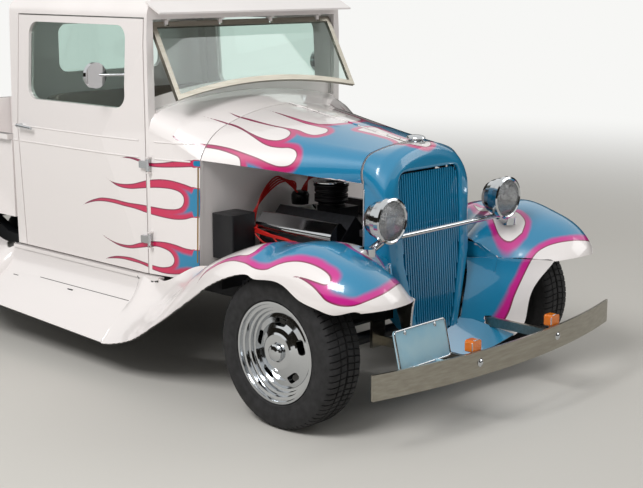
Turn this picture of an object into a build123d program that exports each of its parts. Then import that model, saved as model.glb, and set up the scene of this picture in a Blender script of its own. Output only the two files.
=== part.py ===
from build123d import *
import os
from math import atan2, cos, hypot, radians, sin, sqrt, tan

os.makedirs("parts", exist_ok=True)

# Driving sizes: length, wheelbase, tyres and body stations
LENGTH = 4500.0
WHEELBASE = 2845.0
BUMPER_AHEAD = 618.0
AXLE_F = BUMPER_AHEAD - LENGTH / 2
AXLE_R = AXLE_F + WHEELBASE
TYRE_R = 314.0
TYRE_HALF = 95.0
TRACK_F = 708.0
TRACK_R = 720.0
SIDE_X = 612.0
FENDER_X = 850.0
MOVE_GAP = 6.0
FIT_GAP = 0.05
SKIN = 8.0
COWL_Y = 705.0
CAB_Y = 965.0
DOOR_Y0 = 990.0
DOOR_Y1 = 1935.0
CAB_REAR = 2042.0
CAB_BOTTOM = 448.0
DOOR_TOP = 1575.0
BELT_Z = 1040.0


# Shared shapes: every station is given as a distance behind the front axle
def aft(y):
    return y + AXLE_F


def block(x0, x1, y0, y1, z0, z1):
    place = Pos((x0 + x1) / 2, aft((y0 + y1) / 2), (z0 + z1) / 2)
    return place * Box(x1 - x0, y1 - y0, z1 - z0)


def rod(a, b, r):
    start = Vector(a[0], aft(a[1]), a[2])
    end = Vector(b[0], aft(b[1]), b[2])
    run = end - start
    return Plane(origin=start, z_dir=run) * Cylinder(
        r, run.length, align=(Align.CENTER, Align.CENTER, Align.MIN)
    )


def across(shape):
    return mirror(shape, about=Plane.YZ)


def save(name, shape):
    shape.label = name
    export_step(shape, os.path.join("parts", name + ".step"))


def spin(profile, centre):
    # Profile points are (side, radius) about an axis along X
    face = make_face(Polyline(*profile, close=True))
    turned = revolve(Plane.XZ.offset(0) * face, Axis.X)
    return Pos(centre[0], aft(centre[1]), centre[2]) * turned


def arch_mid(crown, end):
    # Middle of the arc that leaves the crown level and reaches the end
    run = end[0] - crown[0]
    fall = crown[1] - end[1]
    if abs(fall) < 1e-6:
        return ((crown[0] + end[0]) / 2, crown[1])
    r = (run * run + fall * fall) / (2 * fall)
    half = atan2(abs(run), r - fall) / 2
    side = 1 if run > 0 else -1
    return (crown[0] + side * r * sin(half), crown[1] - r + r * cos(half))


def tangent_mid(start, heading, end):
    # Middle of the arc that leaves the start along the heading
    cx = end[0] - start[0]
    cy = end[1] - start[1]
    run = hypot(cx, cy)
    ax, ay = cx / run, cy / run
    size = hypot(*heading)
    hx, hy = heading[0] / size, heading[1] / size
    beta = atan2(ax * hy - ay * hx, ax * hx + ay * hy)
    rise = run / 2 * tan(beta / 2)
    return (start[0] + cx / 2 - ay * rise, start[1] + cy / 2 + ax * rise)


def band(points, wall, side=1):
    # Closed strip: arcs through points 0-1-2, 2-3-4 ..., and the same strip inset by the wall
    inset = []
    for i, p in enumerate(points):
        a = points[max(i - 1, 0)]
        b = points[min(i + 1, len(points) - 1)]
        if i % 2 == 1:
            a, b = points[i - 1], points[i + 1]
        dx, dy = b[0] - a[0], b[1] - a[1]
        if i == 0 and len(points) > 2:
            dx, dy = end_heading(points[2], points[1], points[0])
            dx, dy = -dx, -dy
        if i == len(points) - 1 and len(points) > 2:
            dx, dy = end_heading(points[-3], points[-2], points[-1])
        n = hypot(dx, dy)
        inset.append((p[0] - side * dy / n * wall, p[1] + side * dx / n * wall))
    return points, inset


def end_heading(a, m, b):
    # Heading at b of the arc a-m-b
    cx, cy = b[0] - a[0], b[1] - a[1]
    bulge = atan2(
        cx * (m[1] - a[1]) - cy * (m[0] - a[0]),
        cx * (m[0] - a[0]) + cy * (m[1] - a[1]),
    )
    turn = -2 * bulge
    return (cx * cos(turn) - cy * sin(turn), cx * sin(turn) + cy * cos(turn))


def strip_face(points, wall, place, side=1):
    outer, inner = band(points, wall, side)
    edges = []
    for row in (outer, list(reversed(inner))):
        for i in range(0, len(row) - 2, 2):
            a, m, b = (place(q) for q in row[i : i + 3])
            bend = (m - (a + b) * 0.5).length
            if bend < 0.02:
                edges.append(Edge.make_line(a, b))
            else:
                edges.append(Edge.make_three_point_arc(a, m, b))
    edges.append(Edge.make_line(place(outer[-1]), place(inner[-1])))
    edges.append(Edge.make_line(place(inner[0]), place(outer[0])))
    return Wire(edges)


def upright(y, lean=0.0, z0=0.0):
    # Places (x, up) points in a plane across the car, its top leaning forward
    s, c = sin(radians(lean)), cos(radians(lean))

    def place(p):
        return Vector(p[0], aft(y) - (p[1]) * s, z0 + p[1] * c)

    return place


def level(z):
    def place(p):
        return Vector(p[0], aft(p[1]), z)

    return place


def sheet(wires, ruled=False):
    return Solid.make_loft(wires, ruled)


def prism_x(points, x0, x1):
    face = make_face(Polyline(*[(aft(y), z) for y, z in points], close=True))
    return Pos(x0, 0, 0) * extrude(Plane.YZ * face, x1 - x0)


# Tyres, one table row per wheel: name, side offset, station
WHEELS = (
    ("fl", TRACK_F, 0.0),
    ("fr", -TRACK_F, 0.0),
    ("rl", TRACK_R, WHEELBASE),
    ("rr", -TRACK_R, WHEELBASE),
)
BEAD_R = 191.0
RIM_R = 206.0
tyre_profile = (
    (-77, BEAD_R),
    (-77, RIM_R + 1),
    (-92, 228),
    (-TYRE_HALF, 255),
    (-90, 288),
    (-78, 306),
    (-62, TYRE_R - 1),
    (62, TYRE_R - 1),
    (78, 306),
    (90, 288),
    (TYRE_HALF, 255),
    (92, 228),
    (77, RIM_R + 1),
    (77, BEAD_R),
)
TREAD_Z = TYRE_R - 1

# Wheels: stepped rim, dished disc with five windows, raised hub
HUB_BORE_R = 22.0
rim_profile = (
    (-88, 178), (-88, 205), (-84, RIM_R), (-80, 205), (-78, BEAD_R - 0.5), (-55, BEAD_R - 0.5),
    (-50, 176), (40, 172), (50, BEAD_R - 0.5), (78, BEAD_R - 0.5), (80, 205), (84, RIM_R),
    (88, 205), (88, 196), (76, 192), (74, 180), (58, 176), (56, 166), (42, 163), (40, 152),
    (30, 150), (24, 164), (-56, 168), (-70, 178),
)
disc_profile = (
    (16, HUB_BORE_R), (16, 60), (24, 70), (24, 130), (20, 158), (30, 160), (42, 152),
    (46, 140), (50, 118), (60, 96), (66, 78), (70, 70), (70, 40), (64, HUB_BORE_R),
)
cap_profile = ((60, 0), (60, 34), (84, 34), (88, 28), (92, 14), (92, 0))
WINDOWS = 5


def wheel_at(side, y, sign):
    body = spin(rim_profile, (0, 0, 0)) + spin(disc_profile, (0, 0, 0))
    for i in range(WINDOWS):
        cut = Pos(45, 0, 118) * Rot(0, 90, 0) * RectangleRounded(30, 62, 12)
        tool = extrude(cut, 40, both=True)
        body -= Pos(0, aft(0), 0) * Rot(360 / WINDOWS * i, 0, 0) * tool
    body += spin(cap_profile, (0, 0, 0))
    body = Pos(0, -aft(0), 0) * body
    if sign < 0:
        body = mirror(body, about=Plane.YZ)
    return Pos(side, aft(y), TREAD_Z) * body


for name, side, y in WHEELS:
    sign = 1 if side > 0 else -1
    save("tyre_" + name, spin(tyre_profile, (side, y, TREAD_Z)))
    save("wheel_" + name, wheel_at(side, y, sign))

# Chassis: two rails that widen and kick up over the rear axle, joined by crossmembers
RAIL_Z0 = 372.0
RAIL_Z1 = 500.0
KICK = 95.0
rail_side = (
    (-190, RAIL_Z0 + 24), (-60, RAIL_Z0), (2250, RAIL_Z0), (2450, RAIL_Z0 + KICK),
    (3300, RAIL_Z0 + KICK), (3780, RAIL_Z0 + KICK - 5), (3780, RAIL_Z1 + KICK - 45),
    (3300, RAIL_Z1 + KICK - 45), (2450, RAIL_Z1 + KICK - 45), (2250, RAIL_Z1 - 40),
    (2000, RAIL_Z1 - 60), (700, RAIL_Z1 - 60), (-60, RAIL_Z1), (-190, RAIL_Z1 - 12),
)
rail_plan = (
    (-190, 302, 352), (0, 318, 368), (700, 395, 445), (2000, 470, 520), (3780, 470, 520),
)
slab = prism_x(rail_side, -600, 600)
plan = [(inner, aft(y)) for y, inner, outer in rail_plan]
plan += [(outer, aft(y)) for y, inner, outer in reversed(rail_plan)]
rail = extrude(make_face(Polyline(*plan, close=True)), 900) & slab
frame = rail + across(rail)
for y, half, z0, z1 in (
    (8, 322, 388, 470),
    (900, 420, 340, 376),
    (1700, 460, 416, 440),
    (WHEELBASE - 30, 480, 480, 546),
    (3700, 480, 480, 546),
):
    frame += block(-half, half, y, y + 60, z0, z1)
ENGINE_SIDE = 110.0
for s in (1, -1):
    x0, x1 = sorted((s * ENGINE_SIDE, s * 350))
    frame += block(x0, x1, 300, 350, 400, 430)
    x0, x1 = sorted((s * 300, s * 334))
    frame += block(x0, x1, -40, 0, 470, 498)
    x0, x1 = sorted((s * 410, s * 548))
    frame += block(x0, x1, 570, 600, 430, 520)
    for y in (1000, 1450, 1900):
        x0, x1 = sorted((s * 440, s * 704))
        frame += block(x0, x1, y, y + 40, 296, 310)
        x0, x1 = sorted((s * 440, s * 470))
        frame += block(x0, x1, y, y + 40, 296, 380)
for y, z in ((1100, 442), (2000, 442)):
    for s in (1, -1):
        frame += block(min(s * 380, s * 600), max(s * 380, s * 600), y, y + 40, z - 30, z)

# Front axle: dropped beam, bosses for the steering pins, transverse spring and radius rods
PIN_X = 560.0
PIN_R = 11.0
BOSS_HALF = 34.0
AXLE_Z = 290.0
front_axle = rod((-470, 0, AXLE_Z - 20), (470, 0, AXLE_Z - 20), 26)
for s in (1, -1):
    front_axle += rod((s * 470, 0, AXLE_Z - 20), (s * PIN_X, 0, TREAD_Z), 24)
    boss = Pos(s * PIN_X, aft(0), TREAD_Z) * Cylinder(26, 2 * BOSS_HALF)
    hole = Pos(s * PIN_X, aft(0), TREAD_Z) * Cylinder(PIN_R + FIT_GAP, 200)
    front_axle = front_axle + boss - hole
    front_axle += rod((s * 400, 10, AXLE_Z - 20), (s * 300, 880, 356), 14)
    front_axle += block(s * 300 - 22, s * 300 + 22, 860, 900, 340, 374)
    front_axle += block(s * 420 - 14, s * 420 + 14, -16, 16, 275, 340)
spring = prism_x(((-26, 340), (26, 340), (26, 352), (-26, 352)), -440, 440)
front_axle += spring
front_axle += block(-60, 60, -26, 26, 340, 388)
save("front_axle", front_axle)

# Steering knuckles: fork on the pin, stub axle and brake drum
STUB_R = HUB_BORE_R - FIT_GAP
EAR_GAP = 5.0


def knuckle(s):
    pin = Pos(s * PIN_X, aft(0), TREAD_Z) * Cylinder(PIN_R, 2 * (BOSS_HALF + EAR_GAP + 14))
    piece = pin
    for up in (1, -1):
        z = TREAD_Z + up * (BOSS_HALF + EAR_GAP + 8)
        piece += Pos(s * PIN_X, aft(0), z) * Cylinder(24, 16)
        x0, x1 = sorted((s * PIN_X, s * (PIN_X + 50)))
        piece += block(x0, x1, -22, 22, z - 8, z + 8)
    x0, x1 = sorted((s * (PIN_X + 34), s * (PIN_X + 50)))
    piece += block(x0, x1, -34, 34, TREAD_Z - 62, TREAD_Z + 62)
    piece += rod((s * (PIN_X + 46), 0, TREAD_Z), (s * (TRACK_F + 56), 0, TREAD_Z), STUB_R)
    piece += rod((s * (PIN_X + 46), 0, TREAD_Z), (s * (PIN_X + 62), 0, TREAD_Z), 128)
    piece += rod((s * (PIN_X + 42), 20, TREAD_Z - 50), (s * (PIN_X - 20), 140, TREAD_Z - 60), 10)
    return piece


save("knuckle_l", knuckle(1))
save("knuckle_r", knuckle(-1))

# Rear axle: tube, final drive, drums, stub ends and the transverse spring
rear_axle = rod((-600, WHEELBASE, TREAD_Z), (600, WHEELBASE, TREAD_Z), 38)
rear_axle += Pos(0, aft(WHEELBASE), TREAD_Z) * Sphere(128)
rear_axle += rod((0, WHEELBASE - 40, TREAD_Z), (0, WHEELBASE - 210, TREAD_Z + 10), 48)
for s in (1, -1):
    rear_axle += rod((s * 596, WHEELBASE, TREAD_Z), (s * 640, WHEELBASE, TREAD_Z), 135)
    rear_axle += rod(
        (s * 636, WHEELBASE, TREAD_Z), (s * (TRACK_R + 56), WHEELBASE, TREAD_Z), STUB_R
    )
    rear_axle += rod((s * 430, WHEELBASE, TREAD_Z), (s * 300, 1780, 396), 18)
    rear_axle += block(s * 300 - 20, s * 300 + 20, 1760, 1800, 380, 434)
    rear_axle += block(s * 430 - 16, s * 430 + 16, WHEELBASE - 20, WHEELBASE + 20, 320, 430)
rear_axle += block(-440, 440, WHEELBASE - 28, WHEELBASE + 28, 425, 445)
rear_axle += block(-70, 70, WHEELBASE - 28, WHEELBASE + 28, 425, 480)
save("rear_axle", rear_axle)

# Engine: block, two banked heads, oil pan, bell housing, gearbox, pulley and intake
ENGINE_Z = 540.0
BANK = 45.0
engine = block(-110, 110, 130, 600, 420, 640)
engine += block(-95, 95, 150, 560, 330, 425)
for s in (1, -1):
    bank = Pos(s * 150, aft(365), 600) * Rot(0, s * BANK, 0) * Box(190, 455, 250)
    engine += bank
engine -= block(-40, 40, 100, 640, 660, 760)
engine += block(-120, 120, 190, 540, 640, 700)
engine += rod((0, 598, 500), (0, 698, 500), 168)
engine += block(-104, 104, 690, 1240, 380, 540)
engine += rod((0, 130, 500), (0, 88, 500), 92)
engine += rod((0, 130, 640), (0, 96, 640), 66)
engine += rod((150, 180, 690), (150, 96, 690), 60)
engine += block(-60, 60, 330, 470, 700, 752)
engine += rod((0, 1230, 405), (0, 2634, 324), 30)
save("engine", engine)

# Valve covers: one rounded cover on each bank
COVER_X = 281.5
COVER_Z = 691.8


def cover(s):
    lid = Box(92, 452, 66)
    lid = fillet(lid.edges().filter_by(Axis.Y).group_by(Axis.Z)[-1], 22)
    return Pos(s * COVER_X, aft(364), COVER_Z) * Rot(0, s * BANK, 0) * lid


save("valve_covers", Compound([cover(1) - engine, cover(-1) - engine]))

# Air cleaner: round ribbed housing on the intake
CLEANER = (
    (0, 752), (60, 752), (60, 764), (76, 768), (76, 800), (70, 804), (70, 808), (76, 812),
    (76, 834), (80, 838), (80, 846), (64, 852), (0, 856),
)
cleaner_face = make_face(Polyline(*CLEANER, close=True))
cleaner = Pos(0, aft(440), 0) * revolve(Plane.XZ * cleaner_face, Axis.Z)
save("air_cleaner", cleaner)

# Exhaust: a manifold under each bank, a pipe along the chassis and a silencer
PIPE_Z = 312.0
PIPE_R = 24.0
exhaust = []
for s in (1, -1):
    x0, x1 = sorted((s * 214, s * 282))
    side = block(x0, x1, 170, 560, 502, 546)
    route = (
        (258, 540, 524), (240, 700, 400), (215, 850, PIPE_Z), (215, 2250, PIPE_Z), (520, 2430, 272),
    )
    for (xa, ya, za), (xb, yb, zb) in zip(route, route[1:]):
        side += rod((s * xa, ya, za), (s * xb, yb, zb), PIPE_R)
        side += Pos(s * xa, aft(ya), za) * Sphere(PIPE_R)
    side += rod((s * 215, 1500, PIPE_Z), (s * 215, 2080, PIPE_Z), 58)
    exhaust.append(side - engine)
save("exhaust", Compound(exhaust))

# Radiator: core and fan shroud behind the shell
radiator = block(-205, 205, 12, 62, 560, 980)
radiator += block(-175, 175, 16, 58, 975, 1025)
radiator += block(-175, 175, 16, 58, 470, 565)

# Grille shell: lofted surround, hollow behind, opening for the bars
SHELL_TOP = 1072.0


def shell_outline(y, lean, w, zr, ws, zs, zt, w2, z2, wb, zb, zbb, grow=0.0):
    # One closed outline from the crown down the sides to the rounded bottom
    right = [(0, zt), (ws, zs), (w, zr), (w2, z2), (wb, zb), (0, zbb)]
    place = upright(y, lean)
    edges = []
    top = arch_mid((0, zt), (ws, zs))
    slope = -2 * (zt - zs) / ws
    corner = tangent_mid((ws, zs), (1, slope), (w, zr))
    for s in (1, -1):
        q = [(s * a, b) for a, b in right]
        edges.append(Edge.make_three_point_arc(place(q[0]), place((s * top[0], top[1])), place(q[1])))
        edges.append(
            Edge.make_three_point_arc(place(q[1]), place((s * corner[0], corner[1])), place(q[2]))
        )
        edges.append(Edge.make_line(place(q[2]), place(q[3])))
        edges.append(Edge.make_line(place(q[3]), place(q[4])))
        edges.append(Edge.make_line(place(q[4]), place(q[5])))
    return Wire(edges)


shell_rows = (
    (4, 0, 275, 930, 215, 1048, SHELL_TOP, 275, 600, 215, 420, 400),
    (-85, -1, 278, 880, 200, 1040, 1078, 274, 600, 180, 330, 300),
    (-162, -3, 274, 820, 165, 1030, 1066, 262, 600, 150, 250, 225),
    (-200, -4.4, 240, 800, 140, 1000, 1024, 236, 600, 130, 245, 222),
)
shell = sheet([shell_outline(*row) for row in shell_rows], True)
hollow_rows = (
    (30, 0, 266, 925, 208, 1039, SHELL_TOP - 9, 266, 600, 206, 430, 412),
    (-55, -1, 266, 890, 200, 1035, 1066, 262, 600, 190, 390, 372),
    (-150, -3, 225, 830, 160, 990, 1010, 222, 600, 130, 280, 262),
)
shell -= sheet([shell_outline(*row) for row in hollow_rows], True)
INSERT = (
    (199, 930), (186, 962), (160, 972), (-160, 972), (-186, 962), (-199, 930),
    (-190, 600), (-128, 340), (-96, 262), (96, 262), (128, 340), (190, 600),
)
window = Plane(origin=(0, aft(-240), 0), x_dir=(1, 0, 0), z_dir=(0, -1, 0))
shell -= extrude(window * make_face(Polyline(*INSERT, close=True)), -260)
save("grille_shell", shell)
for s in (1, -1):
    x0, x1 = sorted((s * 200, s * 272))
    radiator += block(x0, x1, -14, 24, 700, 728)
save("radiator", radiator - shell)

# Grille bars: upright bars on two rails, set just inside the opening
BAR_COUNT = 26
BAR_WIDE = 7.0
bars = None
BAR_LEAN = 4.4


def insert_half(z):
    # Half width of the opening at a height
    right = ((972, 160), (962, 186), (930, 199), (600, 190), (340, 128), (262, 96))
    for (za, xa), (zb, xb) in zip(right, right[1:]):
        if zb <= z <= za:
            return xb + (xa - xb) * (z - zb) / (za - zb)
    return 0


for i in range(BAR_COUNT):
    x = -184 + 368 * i / (BAR_COUNT - 1)
    z_low = 266.0
    while insert_half(z_low) < abs(x) + BAR_WIDE:
        z_low += 6
    z_high = 966.0
    while insert_half(z_high) < abs(x) + BAR_WIDE:
        z_high -= 3
    bar = Pos(x, 0, (z_low + z_high) / 2) * Box(BAR_WIDE, 16, z_high - z_low)
    bars = bar if bars is None else bars + bar
bars += Pos(0, 12, 900) * Box(420, 10, 16)
bars += Pos(0, 12, 600) * Box(400, 10, 16)
bars += Pos(0, 12, 400) * Box(300, 10, 16)
bars = Pos(0, aft(-200), 0) * Rot(-BAR_LEAN, 0, 0) * Pos(0, 18, 0) * bars
bars = bars - shell
save("grille_bars", bars)

# Bonnet tops: two curved panels that meet at the centre hinge
HOOD_ROWS = (
    (10, SHELL_TOP, 215, 1048, 275, 921),
    (360, 1133, 300, 1083, 408, 952),
    (COWL_Y - MOVE_GAP, 1188, 400, 1118, 545, 980),
)
HINGE_HALF = 11.5
HINGE_R = 3.0
BARREL_R = 5.5
HINGE_UP = 1.0
BARREL_LONG = 60.0


def hood_points(zt, ws, zs, w, zb, start):
    top = arch_mid((0, zt), (ws, zs))
    slope = -2 * (zt - zs) / ws
    corner = tangent_mid((ws, zs), (1, slope), (w, zb))
    return [(start, zt), top, (ws, zs), corner, (w, zb)]


hood = sheet(
    [
        strip_face(hood_points(zt, ws, zs, w, zb, HINGE_HALF), SKIN, upright(y), -1)
        for y, zt, ws, zs, w, zb in HOOD_ROWS
    ]
)
hinge_a = (0, HOOD_ROWS[0][0] - 6, SHELL_TOP - 1 + HINGE_UP)
hinge_b = (0, COWL_Y, HOOD_ROWS[-1][1] + 1 + HINGE_UP)


def hinge_point(y):
    share = (y - hinge_a[1]) / (hinge_b[1] - hinge_a[1])
    return (0, y, hinge_a[2] + share * (hinge_b[2] - hinge_a[2]))


def with_barrels(panel, s, starts):
    for y in starts:
        a, b = hinge_point(y), hinge_point(y + BARREL_LONG)
        panel += rod(a, b, BARREL_R)
        x0, x1 = sorted((0, s * 30))
        panel += block(x0, x1, y, y + BARREL_LONG, b[2] - 24, b[2] + 24) & hinge_web(s)
        panel -= rod(hinge_point(y - 9), hinge_point(y + BARREL_LONG + 9), HINGE_R + FIT_GAP)
    return panel


def hinge_web(s):
    a, b = hinge_a, hinge_b
    side = ((a[1], a[2] - 6), (b[1], b[2] - 6), (b[1], b[2] - 1), (a[1], a[2] - 1))
    x0, x1 = sorted((s, s * 30))
    return prism_x(side, x0, x1)


bonnet_l = with_barrels(hood, 1, (40, 280, 520))
bonnet_r = with_barrels(across(hood), -1, (110, 350, 590))
save("bonnet_top_l", bonnet_l)
save("bonnet_top_r", bonnet_r)
hinge_rod = rod((0, hinge_a[1] - 8, hinge_a[2] - 1.3), (0, hinge_b[1] + 8, hinge_b[2] + 1.3), HINGE_R)
hinge_rod = hinge_rod & block(-20, 20, HOOD_ROWS[0][0] - 6, COWL_Y, 900, 1300)
save("bonnet_hinge", hinge_rod)

# Cowl: curved scuttle from the bonnet to the screen, with its firewall and dash
COWL_WALL = 20.0
COWL_ROWS = (
    (COWL_Y, 1188, 400, 1118, 545, 980, 560, 500),
    (835, 1214, 476, 1154, 584, 1050, 590, CAB_BOTTOM),
    (CAB_Y, 1236, 524, 1186, SIDE_X, 1090, SIDE_X, CAB_BOTTOM),
)


def cowl_wire(y, zt, ws, zs, w, zside, wb, zb, wall):
    top = arch_mid((0, zt), (ws, zs))
    slope = -2 * (zt - zs) / ws
    corner = tangent_mid((ws, zs), (1, slope), (w, zside))
    low = ((w + wb) / 2, (zside + zb) / 2)
    half = [(0, zt), top, (ws, zs), corner, (w, zside), low, (wb, zb)]
    left = [(-a, b) for a, b in reversed(half[1:])]
    return strip_face(left + half, wall, upright(y), -1)


cowl = sheet([cowl_wire(*row, COWL_WALL) for row in COWL_ROWS], True)


def cowl_fill(rows, inset):
    wires = []
    for y, zt, ws, zs, w, zside, wb, zb in rows:
        top = arch_mid((0, zt - inset), (ws - inset, zs - inset))
        place = upright(y)
        edges = []
        for s in (1, -1):
            pts = [
                (0, zt - inset), (s * top[0], top[1]), (s * (ws - inset), zs - inset),
                (s * (w - inset), zside), (s * (wb - inset), zb), (0, zb),
            ]
            a, m, b, c, d, e = (place(p) for p in pts)
            edges.append(Edge.make_three_point_arc(a, m, b))
            edges.append(Edge.make_line(b, c))
            edges.append(Edge.make_line(c, d))
            edges.append(Edge.make_line(d, e))
        wires.append(Wire(edges))
    return Solid.make_loft(wires, True)


fill = cowl_fill(COWL_ROWS, COWL_WALL - 4)
firewall = fill & block(-700, 700, COWL_Y + 2, COWL_Y + 14, 470, 1300)
firewall -= block(-190, 190, 600, 800, 300, 700)
dash = fill & block(-700, 700, CAB_Y - 70, CAB_Y - 52, 1040, 1400)
# Ledge behind the scuttle that the closed screen rests against
LEDGE_HALF = 570.0
LEDGE_Y = 1002.0


def crown_strip(low, top, y0, y1):
    face = make_face(
        Line((-LEDGE_HALF, low), (-LEDGE_HALF, top))
        + ThreePointArc((-LEDGE_HALF, top), (0, top + 56), (LEDGE_HALF, top))
        + Line((LEDGE_HALF, top), (LEDGE_HALF, low))
        + ThreePointArc((LEDGE_HALF, low), (0, low + 56), (-LEDGE_HALF, low))
    )
    return Pos(0, aft(y1), 0) * extrude(Plane.XZ * face, y1 - y0)


ledge = crown_strip(1158, 1177, CAB_Y - 6, LEDGE_Y) + crown_strip(1158, 1230, LEDGE_Y - 8, LEDGE_Y)
cowl = cowl + firewall + dash + ledge
# Fixed halves of the door hinges, each a pin between two ears
HINGE_PIN_X = SIDE_X + 16.0
HINGE_PIN_Y = 958.0
HINGE_PIN_R = 4.0
HINGE_ZS = (606.0, 942.0)
for s in (1, -1):
    for z in HINGE_ZS:
        cowl += rod((s * HINGE_PIN_X, HINGE_PIN_Y, z - 34), (s * HINGE_PIN_X, HINGE_PIN_Y, z + 34), HINGE_PIN_R)
        for up in (31, -37):
            x0, x1 = sorted((s * (SIDE_X - 12), s * (HINGE_PIN_X + 6)))
            cowl += block(x0, x1, HINGE_PIN_Y - 7, HINGE_PIN_Y + 6, z + up, z + up + 6)
save("cowl", cowl)

# Cab: hollow closed body with door, screen and rear openings
ROOF_TOP = 1712.0
CAB_WALL = 34.0


def cab_form(t):
    rear = CAB_REAR - t
    front = CAB_Y + t
    low = CAB_BOTTOM if t == 0 else CAB_BOTTOM - 50
    side = (
        Polyline((aft(front), low), (aft(rear), low), (aft(rear), 1560))
        + ThreePointArc((aft(rear), 1560), (aft(rear - 34), 1636), (aft(rear - 110), 1676 - t))
        + ThreePointArc(
            (aft(rear - 110), 1676 - t), (aft(1500), ROOF_TOP - t), (aft(front + 45), 1672 - t)
        )
        + ThreePointArc(
            (aft(front + 45), 1672 - t), (aft(front + 12), 1658 - t), (aft(front), 1620 - t)
        )
        + Line((aft(front), 1620 - t), (aft(front), low))
    )
    a = extrude(Plane.YZ * make_face(side), 800, both=True)
    edge = SIDE_X - t
    belt = 640 - t
    drip = 606 - t
    cross = (
        Polyline((-drip, 1590), (-belt, BELT_Z), (-edge - 4, low), (edge + 4, low), (belt, BELT_Z))
        + Line((belt, BELT_Z), (drip, 1590))
        + ThreePointArc((drip, 1590), (drip - 24, 1648 - t), (drip - 100, 1686 - t))
        + ThreePointArc((drip - 100, 1686 - t), (0, ROOF_TOP - t), (-drip + 100, 1686 - t))
        + ThreePointArc((-drip + 100, 1686 - t), (-drip + 24, 1648 - t), (-drip, 1590))
    )
    b = Pos(0, aft(2500), 0) * extrude(Plane.XZ * make_face(cross), 2600)
    r = 130 - t
    wide = 660 - t
    plan = (
        Polyline(
            (-wide, aft(rear - r)), (-wide, aft(1500)), (-edge, aft(front)), (edge, aft(front)),
            (wide, aft(1500)), (wide, aft(rear - r)),
        )
        + ThreePointArc(
            (wide, aft(rear - r)), (wide - 0.293 * r, aft(rear - 0.293 * r)), (wide - r, aft(rear))
        )
        + Line((wide - r, aft(rear)), (-wide + r, aft(rear)))
        + ThreePointArc(
            (-wide + r, aft(rear)), (-wide + 0.293 * r, aft(rear - 0.293 * r)), (-wide, aft(rear - r))
        )
    )
    c = extrude(make_face(plan), 2000)
    return a & b & c


SCREEN_HALF = 574.0
SCREEN_TOP = 1572.0
cab_outer = cab_form(0)
cab_inner = cab_form(CAB_WALL)
cab = cab_outer - cab_inner - block(-SCREEN_HALF, SCREEN_HALF, CAB_Y - 50, CAB_Y + 60, 300, SCREEN_TOP)
door_gap = block(
    -800, 800, DOOR_Y0 - MOVE_GAP, DOOR_Y1 + MOVE_GAP, CAB_BOTTOM - 60, DOOR_TOP + MOVE_GAP
)
cab -= door_gap
REAR_HALF = 330.0
rear_hole = Pos(0, aft(CAB_REAR), 1400) * Rot(90, 0, 0) * extrude(
    RectangleRounded(2 * REAR_HALF, 240, 50), 80, both=True
)
cab -= rear_hole
for s in (1, -1):
    x0, x1 = sorted((s * 537, s * 570))
    cab += block(x0, x1, CAB_Y + 2, CAB_REAR - 20, CAB_BOTTOM - 6, CAB_BOTTOM + 26)
visor_side = [(CAB_Y - 84, 1604), (CAB_Y + 6, 1650), (CAB_Y + 6, 1640), (CAB_Y - 84, 1596)]
cab += prism_x(visor_side, -606, 606)
SCREEN_PIN = (1000.0, 1556.0)
SCREEN_PIN_R = 5.0
LUG_XS = (-480.0, -160.0, 160.0, 480.0)
LUG_HALF = 9.0
for x in LUG_XS:
    lug = block(x - LUG_HALF, x + LUG_HALF, 985, 1011, 1547, SCREEN_TOP)
    lug += block(x - LUG_HALF, x + LUG_HALF, 970, 1011, SCREEN_TOP - 6, SCREEN_TOP + 2)
    cab += lug - rod((x - 20, *SCREEN_PIN), (x + 20, *SCREEN_PIN), SCREEN_PIN_R + FIT_GAP)
save("cab", cab)

# Cab floor with its raised toe board and rear riser
floor = block(-537, 537, COWL_Y + 180, CAB_REAR - 60, CAB_BOTTOM - 2, CAB_BOTTOM + 18)
floor = floor - block(-120, 120, 700, 1260, 300, CAB_BOTTOM + 60)
hump = block(-130, 130, COWL_Y + 30, 1270, CAB_BOTTOM - 2, 600)
hump -= block(-114, 114, COWL_Y, 1254, 300, 584)
floor += hump
save("cab_floor", floor)

# Doors: part of the same shell with the window cut, and the drop glass
WINDOW_Y0 = 1112.0
WINDOW_Y1 = 1850.0
WINDOW_Z0 = 1180.0
WINDOW_Z1 = 1545.0
door_slab = cab_outer & block(SCREEN_HALF, 800, DOOR_Y0, DOOR_Y1, CAB_BOTTOM - 60, DOOR_TOP)
door_slab = door_slab - cab_inner
window_plane = Plane(
    origin=(600, aft((WINDOW_Y0 + WINDOW_Y1) / 2), (WINDOW_Z0 + WINDOW_Z1) / 2),
    x_dir=(0, 1, 0),
    z_dir=(1, 0, 0),
)


def window_cut(inset):
    wide = WINDOW_Y1 - WINDOW_Y0 - 2 * inset
    high = WINDOW_Z1 - WINDOW_Z0 - 2 * inset
    return extrude(window_plane * RectangleRounded(wide, high, 60 - inset), 90, both=True)


door = door_slab - window_cut(0)
GLASS = 5.0
door_glass = window_cut(0) & (cab_form(15) - cab_form(15 + GLASS))
save("door_l", door)
save("door_r", across(door))
save("door_glass_l", door_glass)
save("door_glass_r", across(door_glass))

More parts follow.
